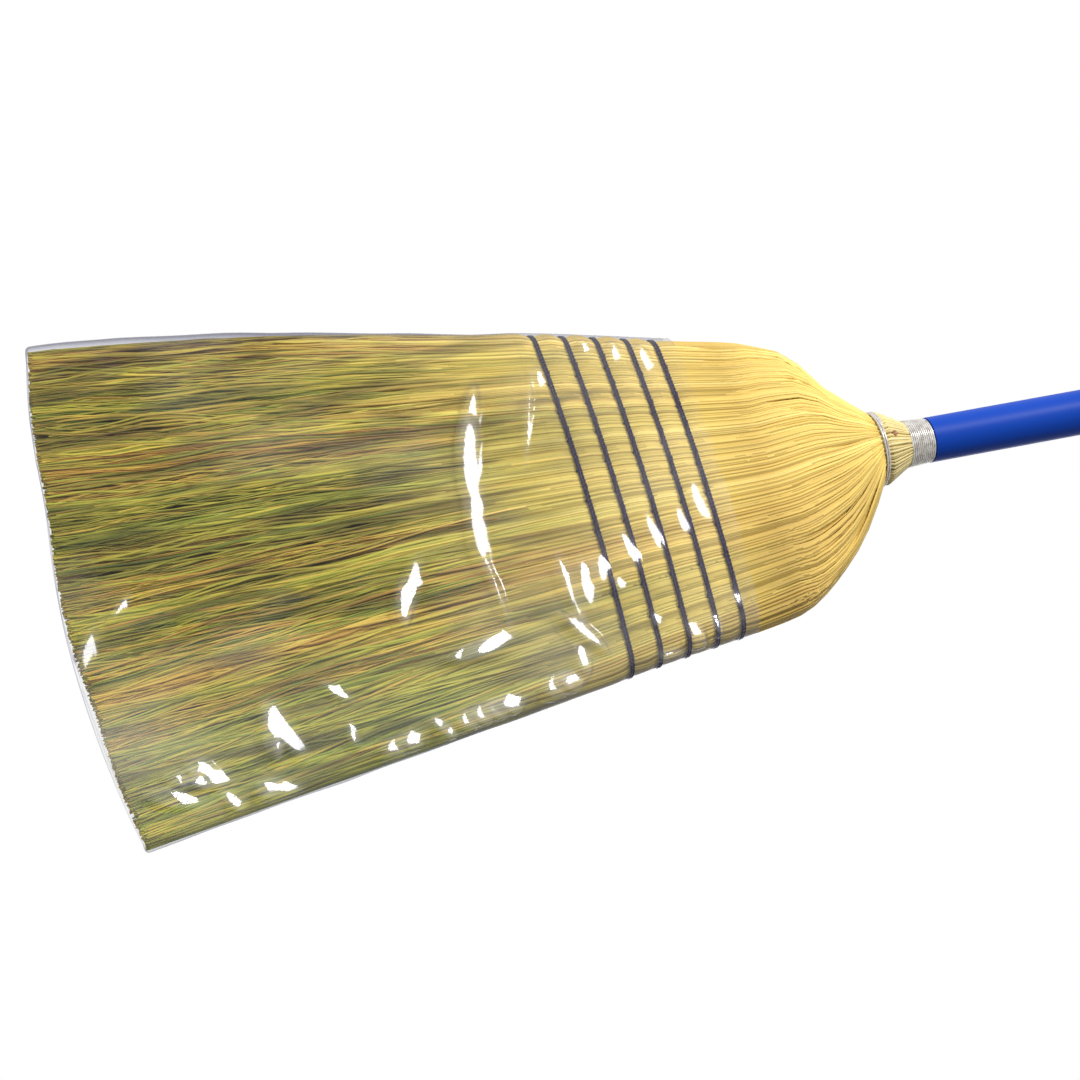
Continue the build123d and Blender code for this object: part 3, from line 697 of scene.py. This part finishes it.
def make_straw(sewn, loose):
    """The bundles and bristles of every layer."""
    stalks = Straws(STALK_COUNT, STALK_RADIUS, SEWN_MIDDLE_Z, seed=11, sunk=0.45, drift=3.5, sway=2.2)
    fibres = Straws(FIBRE_COUNT, FIBRE_RADIUS, LOOSE_MIDDLE_Z, seed=12, sunk=3.2, drift=4.0, sway=2.4,
                    emerge=2.2)
    stalk_layers = layer_of(stalks.place)
    fibre_layers = layer_of(fibres.place)
    for layer, bundle in LAYERS.items():
        coarse = stalks.pick(stalk_layers == layer)
        fine = fibres.pick(fibre_layers == layer)
        bristles = bristle_mesh(coarse, fine)
        add_piece(f"{layer}_{bundle}", "straw", "broomcorn_sewn", sewn, *bundle_mesh(coarse))
        add_piece(f"{layer}_bristles", "straw", "broomcorn_bristles", loose, *bristles)
    core = fill_mesh(seed=13, reach=0.86, top=crease_z - 4)
    add_piece("core_bundle", "straw", "broomcorn_sewn", sewn, *core)
    bristles = fill_mesh(seed=14, reach=0.95)
    add_piece("core_bristles", "straw", "broomcorn_bristles", loose, *bristles)


def collar_profile():
    """Heights and radii up the collar: under the fan, at the wire's seat, up the taper, in the band."""
    seat = np.linspace(crease_z + 2, COLLAR_SEAT_TOP_Z, num=3)
    taper = np.linspace(COLLAR_SEAT_TOP_Z + 1.4, COLLAR_TOP_Z, num=6)
    heights = [crease_z - 6, crease_z - 1, *seat, *taper, COLLAR_TOP_Z + 4, handle_foot_z - 4]
    fan_radii = [COLLAR_SEAT_RADIUS - 2, COLLAR_SEAT_RADIUS - 0.5]
    taper_radii = np.linspace(COLLAR_BASE_RADIUS - 0.3, COLLAR_TOP_RADIUS, num=6)
    radii = [*fan_radii, *[COLLAR_SEAT_RADIUS] * 3, *taper_radii, BAND_BASE_RADIUS, BAND_TOP_RADIUS]
    return np.array(heights), np.array(radii) - COLLAR_STALK


def make_collar(straw):
    """The collar of butt ends: stalks side by side down the taper, over a layer further in."""
    rng = np.random.default_rng(seed=21)
    heights, profile = collar_profile()
    meshes = []
    for count, sunk, radius in COLLAR_LAYERS:
        angle = math.tau * (np.arange(count) + rng.uniform(-0.3, 0.3, count)) / count
        lift = rng.uniform(-0.3, 0.2, (count, 1)) - sunk
        reach = profile + lift * ease(heights, COLLAR_TOP_Z + 2, COLLAR_TOP_Z - 4)
        turn = angle[:, None] + rng.normal(scale=0.02, size=(count, 1)) * np.linspace(-1, 1, len(heights))
        lines = stacked(reach * np.cos(turn), reach * np.sin(turn), heights)
        thinning = profile / (COLLAR_SEAT_RADIUS - COLLAR_STALK)
        girth = radius * rng.uniform(0.8, 1.15, (count, 1)) * thinning
        tone = np.clip(rng.normal(0.55, 0.2, count), 0, 1)
        hue = np.clip(rng.normal(0.35, 0.2, count), 0, 1)
        at_crease = np.full((count, len(heights)), crease_z)
        mesh = tubes(lines, girth, sides=6, reference=level_normals(turn))
        meshes.append((*mesh, straw_values(tone, hue, at_crease, sides=6)))
    add_piece("neck_collar", "straw", "broomcorn_sewn", straw, *joined(*meshes))


def make_wire(node, steel, low_z, high_z, low_radius, high_radius):
    """A wire wound closely up a round seat, with both ends tucked in."""
    turns = (high_z - low_z - 2 * WIRE_RADIUS) / WIRE_PITCH
    steps = int(turns * WIRE_STEPS)
    share = np.linspace(0, 1, steps)
    tucked = ease(np.minimum(share, 1 - share) * turns, 0, WIRE_TUCK_TURN)
    radius = lerp(low_radius, high_radius, share) + WIRE_RADIUS - WIRE_TUCK * (1 - tucked)
    turn = math.tau * turns * share
    z = lerp(low_z + WIRE_RADIUS, high_z - WIRE_RADIUS, share)
    line = stacked(radius * np.cos(turn), radius * np.sin(turn), z)[None]
    mesh = tubes(line, np.full((1, steps), WIRE_RADIUS), sides=8, reference=UPRIGHT)
    add_piece(node, "wound", "wire", steel, *mesh)


def rounded(corners, rounds=3):
    """A corner-cut copy of a run of points, smoother at each round."""
    for _ in range(rounds):
        low = lerp(corners[:-1], corners[1:], 0.25)
        high = lerp(corners[:-1], corners[1:], 0.75)
        inner = np.stack([low, high], axis=1).reshape(-1, 3)
        corners = np.concatenate([corners[:1], inner, corners[-1:]])
    return corners


def even_steps(line, step):
    """Points an even step apart along a line."""
    travelled = np.concatenate([[0.0], np.cumsum(np.linalg.norm(np.diff(line, axis=0), axis=1))])
    wanted = np.linspace(0, travelled[-1], int(travelled[-1] / step) + 1)
    return stacked(*(np.interp(wanted, travelled, axis) for axis in line.T))


def stitch_corners(row_z):
    """Corners of one row's twine: wraps round the head, then stitches over them there and back."""
    turn = np.linspace(0, TWINE_WRAPS, num=90 * TWINE_WRAPS)
    low_z = row_z - TWINE_PITCH * (TWINE_WRAPS - 1) / 2
    wraps = rim(TWINE_START + 4 * turn, low_z + TWINE_PITCH * (turn - 0.5), TWINE_LIFT)[0]
    half_width = float(section(row_z)[0])
    holes = np.arange(half_width - STITCH_EDGE, -half_width + STITCH_EDGE, -STITCH_PITCH)
    corners = stitch_run(row_z, holes, 1) + stitch_run(row_z, holes[::-1], (-1) ** len(holes))
    return np.concatenate([wraps, np.array(corners)])


def stitch_run(row_z, holes, side):
    """Corners of stitches from hole to hole, over the wraps on one face and then on the other."""
    corners = []
    for leg, (x, next_x) in enumerate(zip(holes, holes[1:])):
        hole = leg if x > next_x else len(holes) - 1 - leg
        beside = STITCH_BESIDE if hole % 2 == 0 else -STITCH_BESIDE
        deep, next_deep = depth_at(np.array([x, next_x]), row_z)
        for share, lift, lean in STITCH_RISE + STITCH_FALL:
            y = side * (lerp(deep, next_deep, share) + lift)
            stitch_x = lerp(x, next_x, share)
            corners.append((stitch_x + float(aside(stitch_x, row_z)), y, row_z + beside * lean))
        side = -side
    return corners


def make_twine(number, row_z, twine):
    """One row of two-ply twine."""
    line = even_steps(rounded(stitch_corners(row_z)), TWINE_STEP)
    along = unit(np.gradient(line, axis=0))
    side = unit(np.cross(along, UPRIGHT))
    up = np.cross(side, along)
    turn = math.tau * np.arange(len(line)) * TWINE_STEP / PLY_TURN
    offset = PLY_OFFSET * (np.cos(turn)[:, None] * up + np.sin(turn)[:, None] * side)
    lines = np.stack([line + offset, line - offset])
    mesh = tubes(lines, np.full(lines.shape[:2], PLY_RADIUS), sides=6, reference=UPRIGHT)
    add_piece(f"stitch_row_{number}", "twine", "twine", twine, *mesh)


# Creases of the film's front: place across and up the head, half length, half width, lean in degrees
FRONT_CREASES = (
    # over the loose straw
    (-55, 251, 17, 4, -21), (-22, 241, 20, 5.5, -9), (-41, 246, 11, 4.6, -14), (13, 236, 19, 5, -7),
    (48, 237, 18, 1.8, 5), (-45, 282, 25, 1.8, -18), (40, 190, 17, 4.5, -28), (49, 183, 11, 4, -10),
    (82, 213, 12, 4.4, -82), (79.6, 227, 13, 4.6, -70),
    # below the lowest row
    (57, 278, 20, 3.4, 4), (57, 288, 14, 5, -7), (50, 299, 9, 4, -13), (60, 307, 4, 3, 0),
    (83, 279, 14, 3.8, 39), (97, 275, 8, 4.4, 0),
    # between the rows
    (42, 318, 10, 3.6, 11), (35, 334, 11, 3.2, 5), (31, 352, 8, 2.8, 0), (22, 365, 10, 3.6, 5),
    (81, 372, 4, 3, 10), (84, 323, 4, 3, 9), (95, 344, 8, 4.2, 18), (91, 357, 5, 3, 8),
    (-72, 297, 6, 3.2, -6), (-88, 330, 4, 3.2, 23), (-81, 346, 6, 3.2, -5), (-73, 362, 8, 3.8, 9),
    # at the tips
    (41, 9, 14, 4.2, -30), (18, 33, 8, 2.6, -45), (119, 45, 9, 4.2, 80), (121, 60, 10, 5.2, 80),
    (123, 52, 5, 3.2, 84), (114, 54, 7, 4.4, 79), (128, 38, 13, 4.6, 76), (134, 68, 6, 3.6, 44),
    # along the right-hand edge
    (104, 103, 15, 5.5, 24), (102, 96, 12, 4.5, -21), (114, 97, 6, 2.2, -16), (89, 136, 8, 3.4, 52),
    (113, 139, 7, 2.8, 0), (135, 96, 9, 5, 96), (132, 87, 6, 4.4, 96), (124, 160, 7, 4.2, 106),
    (121.4, 171, 6, 4, 106), (116, 187, 4, 3, 30), (122, 193, 4, 3, 30), (116.6, 204, 6, 4.2, 101),
    (115, 213, 6, 4.2, 101), (113.6, 222, 6, 4.2, 101), (112.2, 230, 7, 4.2, 101),
    (108, 257, 7, 5, 113), (107, 266, 6, 4, 96), (103, 329, 7, 3.6, 84),
)


def shining(point):
    """The tilt that mirrors the key lamp towards the photograph's viewpoint, from a point of the film."""
    to_camera = unit(np.array(CAMERA_PLACE) / MM - point)
    to_key = unit(np.array(KEY_PLACE) / MM - point)
    return unit(to_camera + to_key)


class Film:
    """A sheet round the head: places round it, heights, and how far out it stands."""

    def __init__(self):
        self.rng = np.random.default_rng(seed=31)
        place = np.concatenate([arc + np.arange(count) / count for arc, count in enumerate(FILM_COLUMNS)])
        self.place = place[:, None]
        around = np.interp(place, np.arange(5), arc_ends(LOOSE_MIDDLE_Z))
        ends = rim(place, np.full(len(place), TIP_Z), 0.0)[0]
        low = (tip_edge(ends[:, 0]) + bevel(ends[:, 1]) + FILM_LOW_GAP)[:, None]
        top_wave = scatter(sines(self.rng, 6, shortest=40, longest=160), around)
        high = (film_top_z + FILM_TOP_WAVE * top_wave)[:, None]
        lip = FILM_LIP * np.linspace(0, 1, FILM_LIP_ROWS)
        lip_top = low + FILM_LIP
        rise = np.linspace(0, 1, FILM_UP - FILM_LIP_ROWS + 1)[1:]
        self.z = np.concatenate([low + lip, lip_top + (high - lip_top) * rise], axis=1)
        curl = np.clip((lip_top - self.z) / FILM_LIP, 0, 1)
        self.outward = self.stand_off(around) - FILM_LIP * (1 - np.sqrt(1 - curl ** 2))
        self.worn = np.zeros_like(self.z)
        self.settle()

    def stand_off(self, around):
        """How far the sheet stands out: over the rows, swollen on the left, tight on the right, rippled."""
        x = rim(self.place, self.z, 0.0)[0][..., 0]
        on_face = 1 - outer(np.abs(x), self.z, *FACE_END)
        over_rows = ease(self.z, row_heights[0] - OVER_ROWS_LOW, row_heights[0] - OVER_ROWS_HIGH)
        outward = FILM_CLOSE + FILM_OVER_ROWS * on_face * over_rows + bow(x, self.z, FILM_BOW)
        outward -= FILM_TIGHTER * outer(x, self.z, *RIGHT_END)
        loose = lerp(RIPPLE_SEWN, 1.0, ease(self.z, root_z, root_z - RIPPLE_RUN))
        for shortest, longest, height in FILM_RIPPLES:
            drift = RIPPLE_DRIFT * scatter(sines(self.rng, 7, shortest, longest), around)[:, None]
            ripple = scatter(sines(self.rng, 7, shortest, longest), self.z + drift)
            outward += height * loose * (1 + RIPPLE_SWING * ripple)
        return outward

    def settle(self):
        """Works out the sheet's points and the way out at each."""
        self.points, angle = rim(self.place, self.z, self.outward)
        self.way_out = level_normals(angle)
        self.way_out[..., 1] *= flatness(self.z)

    def crease(self, face, x, height, half_length, half_width, lean, tilt=None):
        """A flat facet in the front (-1) or back (1) of the sheet, which eases out into it all round."""
        turn = math.radians(lean)
        dx = self.points[..., 0] - x
        dz = self.z - height
        along = (dx * math.cos(turn) + dz * math.sin(turn)) / half_length
        across = (dz * math.cos(turn) - dx * math.sin(turn)) / half_width
        spread = np.where(self.points[..., 1] * face > 0, np.hypot(along, across), np.inf)
        at = np.unravel_index(np.argmin(spread), spread.shape)
        facing = shining(self.points[at]) if tilt is None else unit(self.way_out[at] + tilt)
        hold = (1 - ease(spread, *FACET_EDGE)) * ease(self.way_out @ facing, *FACET_TURNED)
        near = hold > 0
        # whitening round the facet: partly stress whitening, partly a painted sheen round the glints
        self.worn += 1 - ease(spread, *FACET_WHITENING_AND_SHEEN)
        if near.any():
            proud = (self.points[near] - self.points[at]) @ facing
            lift = np.max(proud * hold[near])
            rise = (lift - proud) / (self.way_out[near] @ facing)
            self.outward[near] += hold[near] * np.clip(rise, 0.0, CREASE_HEIGHT)
            self.settle()


def make_film(clear):
    """The clear sleeve: a thin sheet round bristles and stitches, with creases that catch the light."""
    film = Film()
    rng = film.rng
    for crease in FRONT_CREASES:
        film.crease(-1, *crease)
    for _ in range(BACK_CREASES):
        height = rng.uniform(20, film_top_z - 12)
        x = rng.uniform(-0.95, 0.95) * float(section(height)[0])
        tilt = np.array([rng.normal(scale=0.12), 0.0, rng.normal(scale=0.12)])
        film.crease(1, x, height, rng.uniform(8, 22), rng.uniform(4, 7), rng.uniform(-60, 60), tilt)
    index = np.arange(film.z.size).reshape(film.z.shape)
    walls = walls_between(index, np.roll(index, -1, axis=0))
    across, up = cell_corners(len(film.z), FILM_UP - 1)
    uv = stacked(across[:, None], up[None]).reshape(-1, 2)
    # worn carries the whitening along creases, partly a painted sheen round the glints
    values = {"worn": np.clip(film.worn / 2, 0, 1).ravel()}
    piece = add_piece("film_sleeve", "sheet", "film", clear, film.points.reshape(-1, 3), [walls], [uv],
                      values, body="sleeve")
    girth = float(np.sum(arc_lengths(LOOSE_MIDDLE_Z))) + math.tau * FILM_CLOSE


class Look:
    """The node tree of a material or world, with short calls to add nodes and link them."""

    def __init__(self, name, world=False):
        self.owner = (bpy.data.worlds if world else bpy.data.materials).new(name)
        self.owner.use_nodes = True
        self.tree = self.owner.node_tree
        self.tree.nodes.clear()

    def node(self, kind, inputs=None, **settings):
        """Outputs of a new node whose inputs are linked to sockets or set to values."""
        node = self.tree.nodes.new(kind)
        for key, value in settings.items():
            setattr(node, key, value)
        for key, value in (inputs or {}).items():
            if isinstance(value, bpy.types.NodeSocket):
                self.tree.links.new(value, node.inputs[key])
            else:
                node.inputs[key].default_value = value
        return node.outputs

    def ramp(self, value, stops):
        output = self.node("ShaderNodeValToRGB", {"Fac": value})["Color"]
        elements = output.node.color_ramp.elements
        while len(elements) < len(stops):
            elements.new(0.5)
        for element, (place, colour) in zip(elements, stops):
            element.position = place
            element.color = (*colour, 1.0)
        return output

    def value(self, name):
        return self.node("ShaderNodeAttribute", attribute_name=name)["Fac"]

    def place(self):
        return self.node("ShaderNodeTexCoord")["Object"]

    def noise(self, scale, stretch=(1, 1, 1), detail=3.0):
        place = self.node("ShaderNodeMapping", {"Vector": self.place(), "Scale": stretch})["Vector"]
        return self.node("ShaderNodeTexNoise", {"Vector": place, "Scale": scale, "Detail": detail})["Fac"]

    def mix(self, share, low, high, kind="MIX"):
        """A mix of two colours, by the node's own numbers for its colour sockets."""
        inputs = {0: share, 6: low, 7: high}
        return self.node("ShaderNodeMix", inputs, data_type="RGBA", blend_type=kind)[2]

    def span(self, value, low, high, to_low=0.0, to_high=1.0, **settings):
        """A value spread from one range to another and held at its ends."""
        inputs = {"Value": value, "From Min": low, "From Max": high, "To Min": to_low, "To Max": to_high}
        return self.node("ShaderNodeMapRange", inputs, **settings)["Result"]

    def calc(self, operation, first, second, **settings):
        return self.node("ShaderNodeMath", {0: first, 1: second}, operation=operation, **settings)["Value"]

    def scaled(self, colour, share):
        return self.node("ShaderNodeVectorMath", {0: colour, "Scale": share}, operation="SCALE")["Vector"]

    def bump(self, height, strength, distance):
        inputs = {"Height": height, "Strength": strength, "Distance": distance * MM}
        return self.node("ShaderNodeBump", inputs)["Normal"]

    def seen(self):
        """1 for what the eye sees, also in reflections and through glass, and 0 for other rays."""
        path = self.node("ShaderNodeLightPath")
        either = self.calc("MAXIMUM", path["Is Camera Ray"], path["Is Glossy Ray"])
        return self.calc("MAXIMUM", either, path["Is Transmission Ray"])

    def principled(self, inputs):
        return self.node("ShaderNodeBsdfPrincipled", inputs)["BSDF"]

    def mixed(self, share, low, high):
        return self.node("ShaderNodeMixShader", {0: share, 1: low, 2: high})["Shader"]

    def output(self, surface, kind="ShaderNodeOutputMaterial"):
        """The finished material or world."""
        self.node(kind, {"Surface": surface})
        return self.owner


# Straw: colours from the dullest to the brightest stalk, and by hue from rusty to green
GOLDEN = ((0.0, (0.70, 0.48, 0.12)), (0.3, (0.76, 0.54, 0.135)), (0.6, (0.81, 0.59, 0.16)),
          (1.0, (0.84, 0.645, 0.21)))
PALE = ((0.0, (0.50, 0.40, 0.16)), (0.5, (0.64, 0.52, 0.22)), (1.0, (0.74, 0.62, 0.32)))
OLIVE = ((0.0, (0.38, 0.19, 0.03)), (0.25, (0.52, 0.35, 0.06)), (0.5, (0.44, 0.365, 0.045)),
         (0.75, (0.31, 0.315, 0.035)), (1.0, (0.19, 0.245, 0.025)))
PITH = (0.78, 0.62, 0.24, 1.0)
# Straw: way down the head where gold turns to olive, and on the way a tint, partly of age and partly painted
# shade, darkest on the lower shoulder
TURNING = (0.14, 0.62)
TINT_AND_PAINTED_SHADE = ((0.03, (0.91, 0.91, 0.91)), (0.1, (0.86, 0.85, 0.83)), (0.16, (0.70, 0.67, 0.62)),
          (0.25, (0.95, 0.95, 0.95)), (0.7, (0.95, 0.96, 0.92)), (0.95, (1.0, 1.0, 0.90)))


def straw_material(name, golden):
    """Dry broomcorn: golden at the neck, olive and rusty lower down, streaked along each stalk."""
    look = Look(name)
    tone = look.value("tone")
    fall = look.value("fall")
    warm = look.ramp(tone, golden)
    cool = look.ramp(look.value("hue"), OLIVE)
    patches = look.noise(9.0, (1, 1, 0.25))
    lower = look.calc("ADD", fall, look.span(patches, 0.3, 0.7, -0.12, 0.12))
    share = look.span(lower, *TURNING)
    # the ramp down the head multiplies in a tint with painted shade on the lower shoulder, above the rows
    colour = look.mix(1.0, look.mix(share, warm, cool), look.ramp(fall, TINT_AND_PAINTED_SHADE), "MULTIPLY")
    darkest = look.span(share, 0.0, 1.0, 1.13, 0.40)
    brightest = look.span(share, 0.0, 1.0, 1.26, 1.4)
    # random darker and lighter streaks in the loose straw: painted shade between clumps and painted light on
    # them
    clump_gap_shade = look.span(share, 0.2, 0.7, 0.98, 0.52)
    clump_top_light = look.span(share, 0.2, 0.7, 1.0, 1.2)
    clump_light_and_shade = look.span(look.noise(130.0, (1, 1, 0.1), 2.0), 0.36, 0.56, clump_gap_shade, clump_top_light)
    shade = look.calc("MULTIPLY", look.span(tone, 0.0, 1.0, darkest, brightest), clump_light_and_shade)
    streaks = look.noise(420.0, (1, 1, 0.05), 2.0)
    streaked = look.scaled(look.scaled(colour, shade), look.span(streaks, 0.3, 0.7, 0.92, 1.06))
    cut = look.span(look.value("cut"), 0.5, 1.0, 0.0, 0.7)
    return look.output(look.principled({
        "Base Color": look.mix(cut, streaked, PITH),
        "Roughness": look.span(streaks, 0.3, 0.7, 0.5, 0.68),
        "Specular IOR Level": 0.35,
        "Normal": look.bump(streaks, 0.22, 0.3),
    }))


def lacquer_material():
    """Glossy blue lacquer over turned wood, faintly brushed along the stick."""
    look = Look("blue_lacquer")
    grain = look.noise(60.0, (1, 1, 0.03), 4.0)
    depth = look.noise(5.0, (1, 1, 0.4), 2.0)
    blue = look.ramp(depth, ((0.3, (0.004, 0.045, 0.34)), (0.7, (0.006, 0.060, 0.44))))
    brushed = look.span(grain, 0.35, 0.75, 0.0, 0.35)
    return look.output(look.principled({
        "Base Color": look.mix(brushed, blue, (0.003, 0.025, 0.22, 1.0)),
        "Roughness": look.span(grain, 0.3, 0.7, 0.38, 0.5),
        "Specular IOR Level": 0.1,
        "Normal": look.bump(grain, 0.15, 0.4),
    }))


def steel_material():
    """Bright tinned wire, a little dulled."""
    look = Look("tinned_wire")
    dull = look.noise(300.0)
    return look.output(look.principled({
        "Base Color": look.ramp(dull, ((0.3, (0.42, 0.39, 0.35)), (0.7, (0.74, 0.72, 0.69)))),
        "Metallic": 0.35,
        "Roughness": look.span(dull, 0.3, 0.7, 0.16, 0.34),
    }))


def nail_material():
    """Nail heads with brown rust over worn steel."""
    look = Look("rusty_nail")
    rust = look.noise(700.0, detail=4.0)
    rusty = ((0.35, (0.16, 0.06, 0.025)), (0.6, (0.36, 0.15, 0.06)), (0.8, (0.45, 0.38, 0.33)))
    return look.output(look.principled({
        "Base Color": look.ramp(rust, rusty),
        "Metallic": look.span(rust, 0.6, 0.8),
        "Roughness": look.span(rust, 0.3, 0.8, 0.8, 0.45),
        "Normal": look.bump(rust, 0.5, 0.2),
    }))


def twine_material():
    """Dark blue twine with paler worn hairs."""
    look = Look("blue_twine")
    hairs = look.noise(900.0, detail=4.0)
    navy = ((0.3, (0.008, 0.004, 0.022)), (0.55, (0.022, 0.011, 0.055)), (0.8, (0.065, 0.042, 0.14)))
    return look.output(look.principled({
        "Base Color": look.ramp(hairs, navy),
        "Roughness": 0.75,
        "Specular IOR Level": 0.25,
        "Sheen Weight": 0.05,
        "Normal": look.bump(hairs, 0.6, 0.2),
    }))


def film_tint(look, axes):
    """Colour of light through the film: greyer at a slant, and less so where it is pressed to the straw."""
    slant = look.node("ShaderNodeLayerWeight", {"Blend": 0.5})["Facing"]
    clear = (0.985, 0.99, 0.99)
    loose = look.ramp(slant, ((0.2, clear), (0.4, (0.78, 0.78, 0.82)), (0.9, (0.30, 0.30, 0.36))))
    pressed = look.ramp(slant, ((0.3, clear), (0.95, (0.60, 0.60, 0.62))))
    tight = look.calc("MAXIMUM", look.span(axes["X"], *PRESSED_X), look.span(axes["Z"], *PRESSED_Z))
    return look.mix(tight, loose, pressed)


def film_haze(look, axes):
    """Scuffs in the film: cloudy to the right, partly a painted sheen; even over the rows; and white along
    creases, partly stress whitening and partly a painted sheen round the glints.
    """
    over_rows = look.calc("MINIMUM", look.span(axes["Z"], *ROWS_LOW_Z, 0.0, ROWS_HAZE),
                            look.span(axes["Z"], *ROWS_HIGH_Z, ROWS_HAZE, 0.0))
    rubbed = look.calc("MAXIMUM", over_rows, look.span(axes["X"], *RUBBED_X, 0.0, RUBBED_HAZE))
    # cloudier to the right: partly milky film, partly a painted sheen
    milky = look.span(axes["X"], *CLOUDY_AND_SHEEN_X, *MILKY_HAZE_AND_SHEEN)
    cloudy = look.span(look.noise(16.0, (1, 1, 0.6), 4.0), 0.48, 0.72, rubbed, milky)
    # white along creases: partly stress whitening, partly a painted sheen round the glints
    return look.calc("ADD", cloudy, look.span(look.value("worn"), 0.2, 1.0, 0.0, 0.16))


def film_material():
    """Clear film: it lets light through, greys and mirrors more at a slant, and is faintly scuffed, its haze
    partly a painted sheen.
    """
    look = Look("clear_film")
    ripple = look.noise(30.0, (1, 1, 0.5), 2.0)
    normal = look.bump(ripple, 0.05, 0.5)
    inside = look.node("ShaderNodeNewGeometry")["Backfacing"]
    bending = look.span(inside, 0.0, 1.0, FILM_IOR, 1 / FILM_IOR)
    shine = look.node("ShaderNodeFresnel", {"IOR": bending, "Normal": normal})["Fac"]
    mirror = look.principled({
        "Base Color": (0.46, 0.46, 0.53, 1.0),
        "Metallic": 1.0,
        "Roughness": look.span(ripple, 0.35, 0.65, 0.05, 0.2),
        "Normal": normal,
    })
    axes = look.node("ShaderNodeSeparateXYZ", {0: look.place()})
    through = look.node("ShaderNodeBsdfTransparent", {"Color": film_tint(look, axes)})["BSDF"]
    scuffed = look.node("ShaderNodeBsdfDiffuse", {"Color": (0.85, 0.85, 0.82, 1.0)})["BSDF"]
    hazy = look.mixed(film_haze(look, axes), through, scuffed)
    return look.output(look.mixed(shine, hazy, mirror))


def floor_material():
    """Pale floor that shows, with the shadows on it, only to the eye and in reflections from above."""
    look = Look("pale_floor")
    cloud = look.noise(1.5, detail=2.0)
    colour = look.ramp(cloud, ((0.3, (0.74, 0.74, 0.74)), (0.7, (0.78, 0.78, 0.775))))
    top = look.principled({"Base Color": colour, "Roughness": 0.7})
    under = look.node("ShaderNodeBsdfTransparent")["BSDF"]
    below = look.node("ShaderNodeNewGeometry")["Backfacing"]
    shown = look.calc("SUBTRACT", look.seen(), below, use_clamp=True)
    away = look.node("ShaderNodeVectorMath", {0: look.place()}, operation="LENGTH")["Value"]
    fading = look.span(away, FLOOR_CLEAR, FLOOR_REACH, shown, 0.0, interpolation_type="SMOOTHSTEP")
    return look.output(look.mixed(fading, under, top))


def make_floor():
    """A square floor, a hair below the tips."""
    mesh = bpy.data.meshes.new("floor")
    signs = ((-1, -1), (1, -1), (1, 1), (-1, 1))
    corners = [(x * FLOOR_REACH, y * FLOOR_REACH, -FLOOR_DROP) for x, y in signs]
    mesh.from_pydata(corners, [], [(0, 1, 2, 3)])
    mesh.materials.append(floor_material())
    floor = added("floor", mesh)


def make_lamp(name, place, target, size, power):
    lamp = bpy.data.lights.new(name, "AREA")
    lamp.size = size
    lamp.energy = power
    holder = added(name, lamp)
    holder.location = place
    holder.rotation_euler = (target - place).to_track_quat("-Z", "Y").to_euler()


def make_world():
    """White to the eye and in reflections, and a soft room that is brighter on the daylight's side."""
    look = Look("studio", world=True)
    sides = {0: look.node("ShaderNodeTexCoord")["Generated"], 1: DAYLIGHT_SIDE.normalized()}
    facing = look.node("ShaderNodeVectorMath", sides, operation="DOT_PRODUCT")["Value"]
    room = look.span(facing, -DAYLIGHT_EDGE, DAYLIGHT_EDGE, ROOM_DIM, ROOM_BRIGHT)
    white = {"Color": (1, 1, 1, 1), "Strength": look.span(look.seen(), 0.0, 1.0, room, 1.0)}
    background = look.node("ShaderNodeBackground", white)["Background"]
    bpy.context.scene.world = look.output(background, "ShaderNodeOutputWorld")


def make_camera():
    forward = CAMERA_FORWARD.normalized()
    right = CAMERA_DOWN.cross(forward).normalized()
    up = right.cross(forward)
    camera = bpy.data.cameras.new("camera")
    camera.lens = CAMERA_LENS
    camera.sensor_width = CAMERA_SENSOR
    holder = added("camera", camera)
    turn = Matrix((right, up, -forward)).transposed()
    holder.matrix_world = Matrix.Translation(CAMERA_PLACE) @ turn.to_4x4()
    bpy.context.scene.camera = holder


make_straw(straw_material("broomcorn_sewn", GOLDEN), straw_material("broomcorn_loose", GOLDEN))
make_collar(straw_material("broomcorn_collar", PALE))

steel = steel_material()
make_wire("neck_wire", steel, COLLAR_TOP_Z, handle_foot_z, BAND_BASE_RADIUS, BAND_TOP_RADIUS)
make_wire("collar_wire", steel, crease_z + WIRE_GAP, COLLAR_SEAT_TOP_Z - WIRE_GAP,
          COLLAR_SEAT_RADIUS, COLLAR_SEAT_RADIUS)
make_wire("core_wire", steel, *box_mm("core_wire")[:, 2], CORE_WIRE_SEAT, CORE_WIRE_SEAT)

twine = twine_material()
for number, height in enumerate(row_heights, start=1):
    make_twine(number, height, twine)
make_film(film_material())

for node, material in (("handle", lacquer_material()), ("binding_nails", nail_material())):
    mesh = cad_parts[node].data
    mesh.materials.clear()
    mesh.materials.append(material)

make_floor()
make_lamp("key", KEY_PLACE, HEAD_MIDDLE, size=0.42, power=29.0)
make_lamp("back_fill", BACK_FILL_PLACE, BACK_FILL_TARGET, size=2.2, power=18.0)
make_world()
make_camera()

bpy.context.scene.view_settings.view_transform = "Standard"
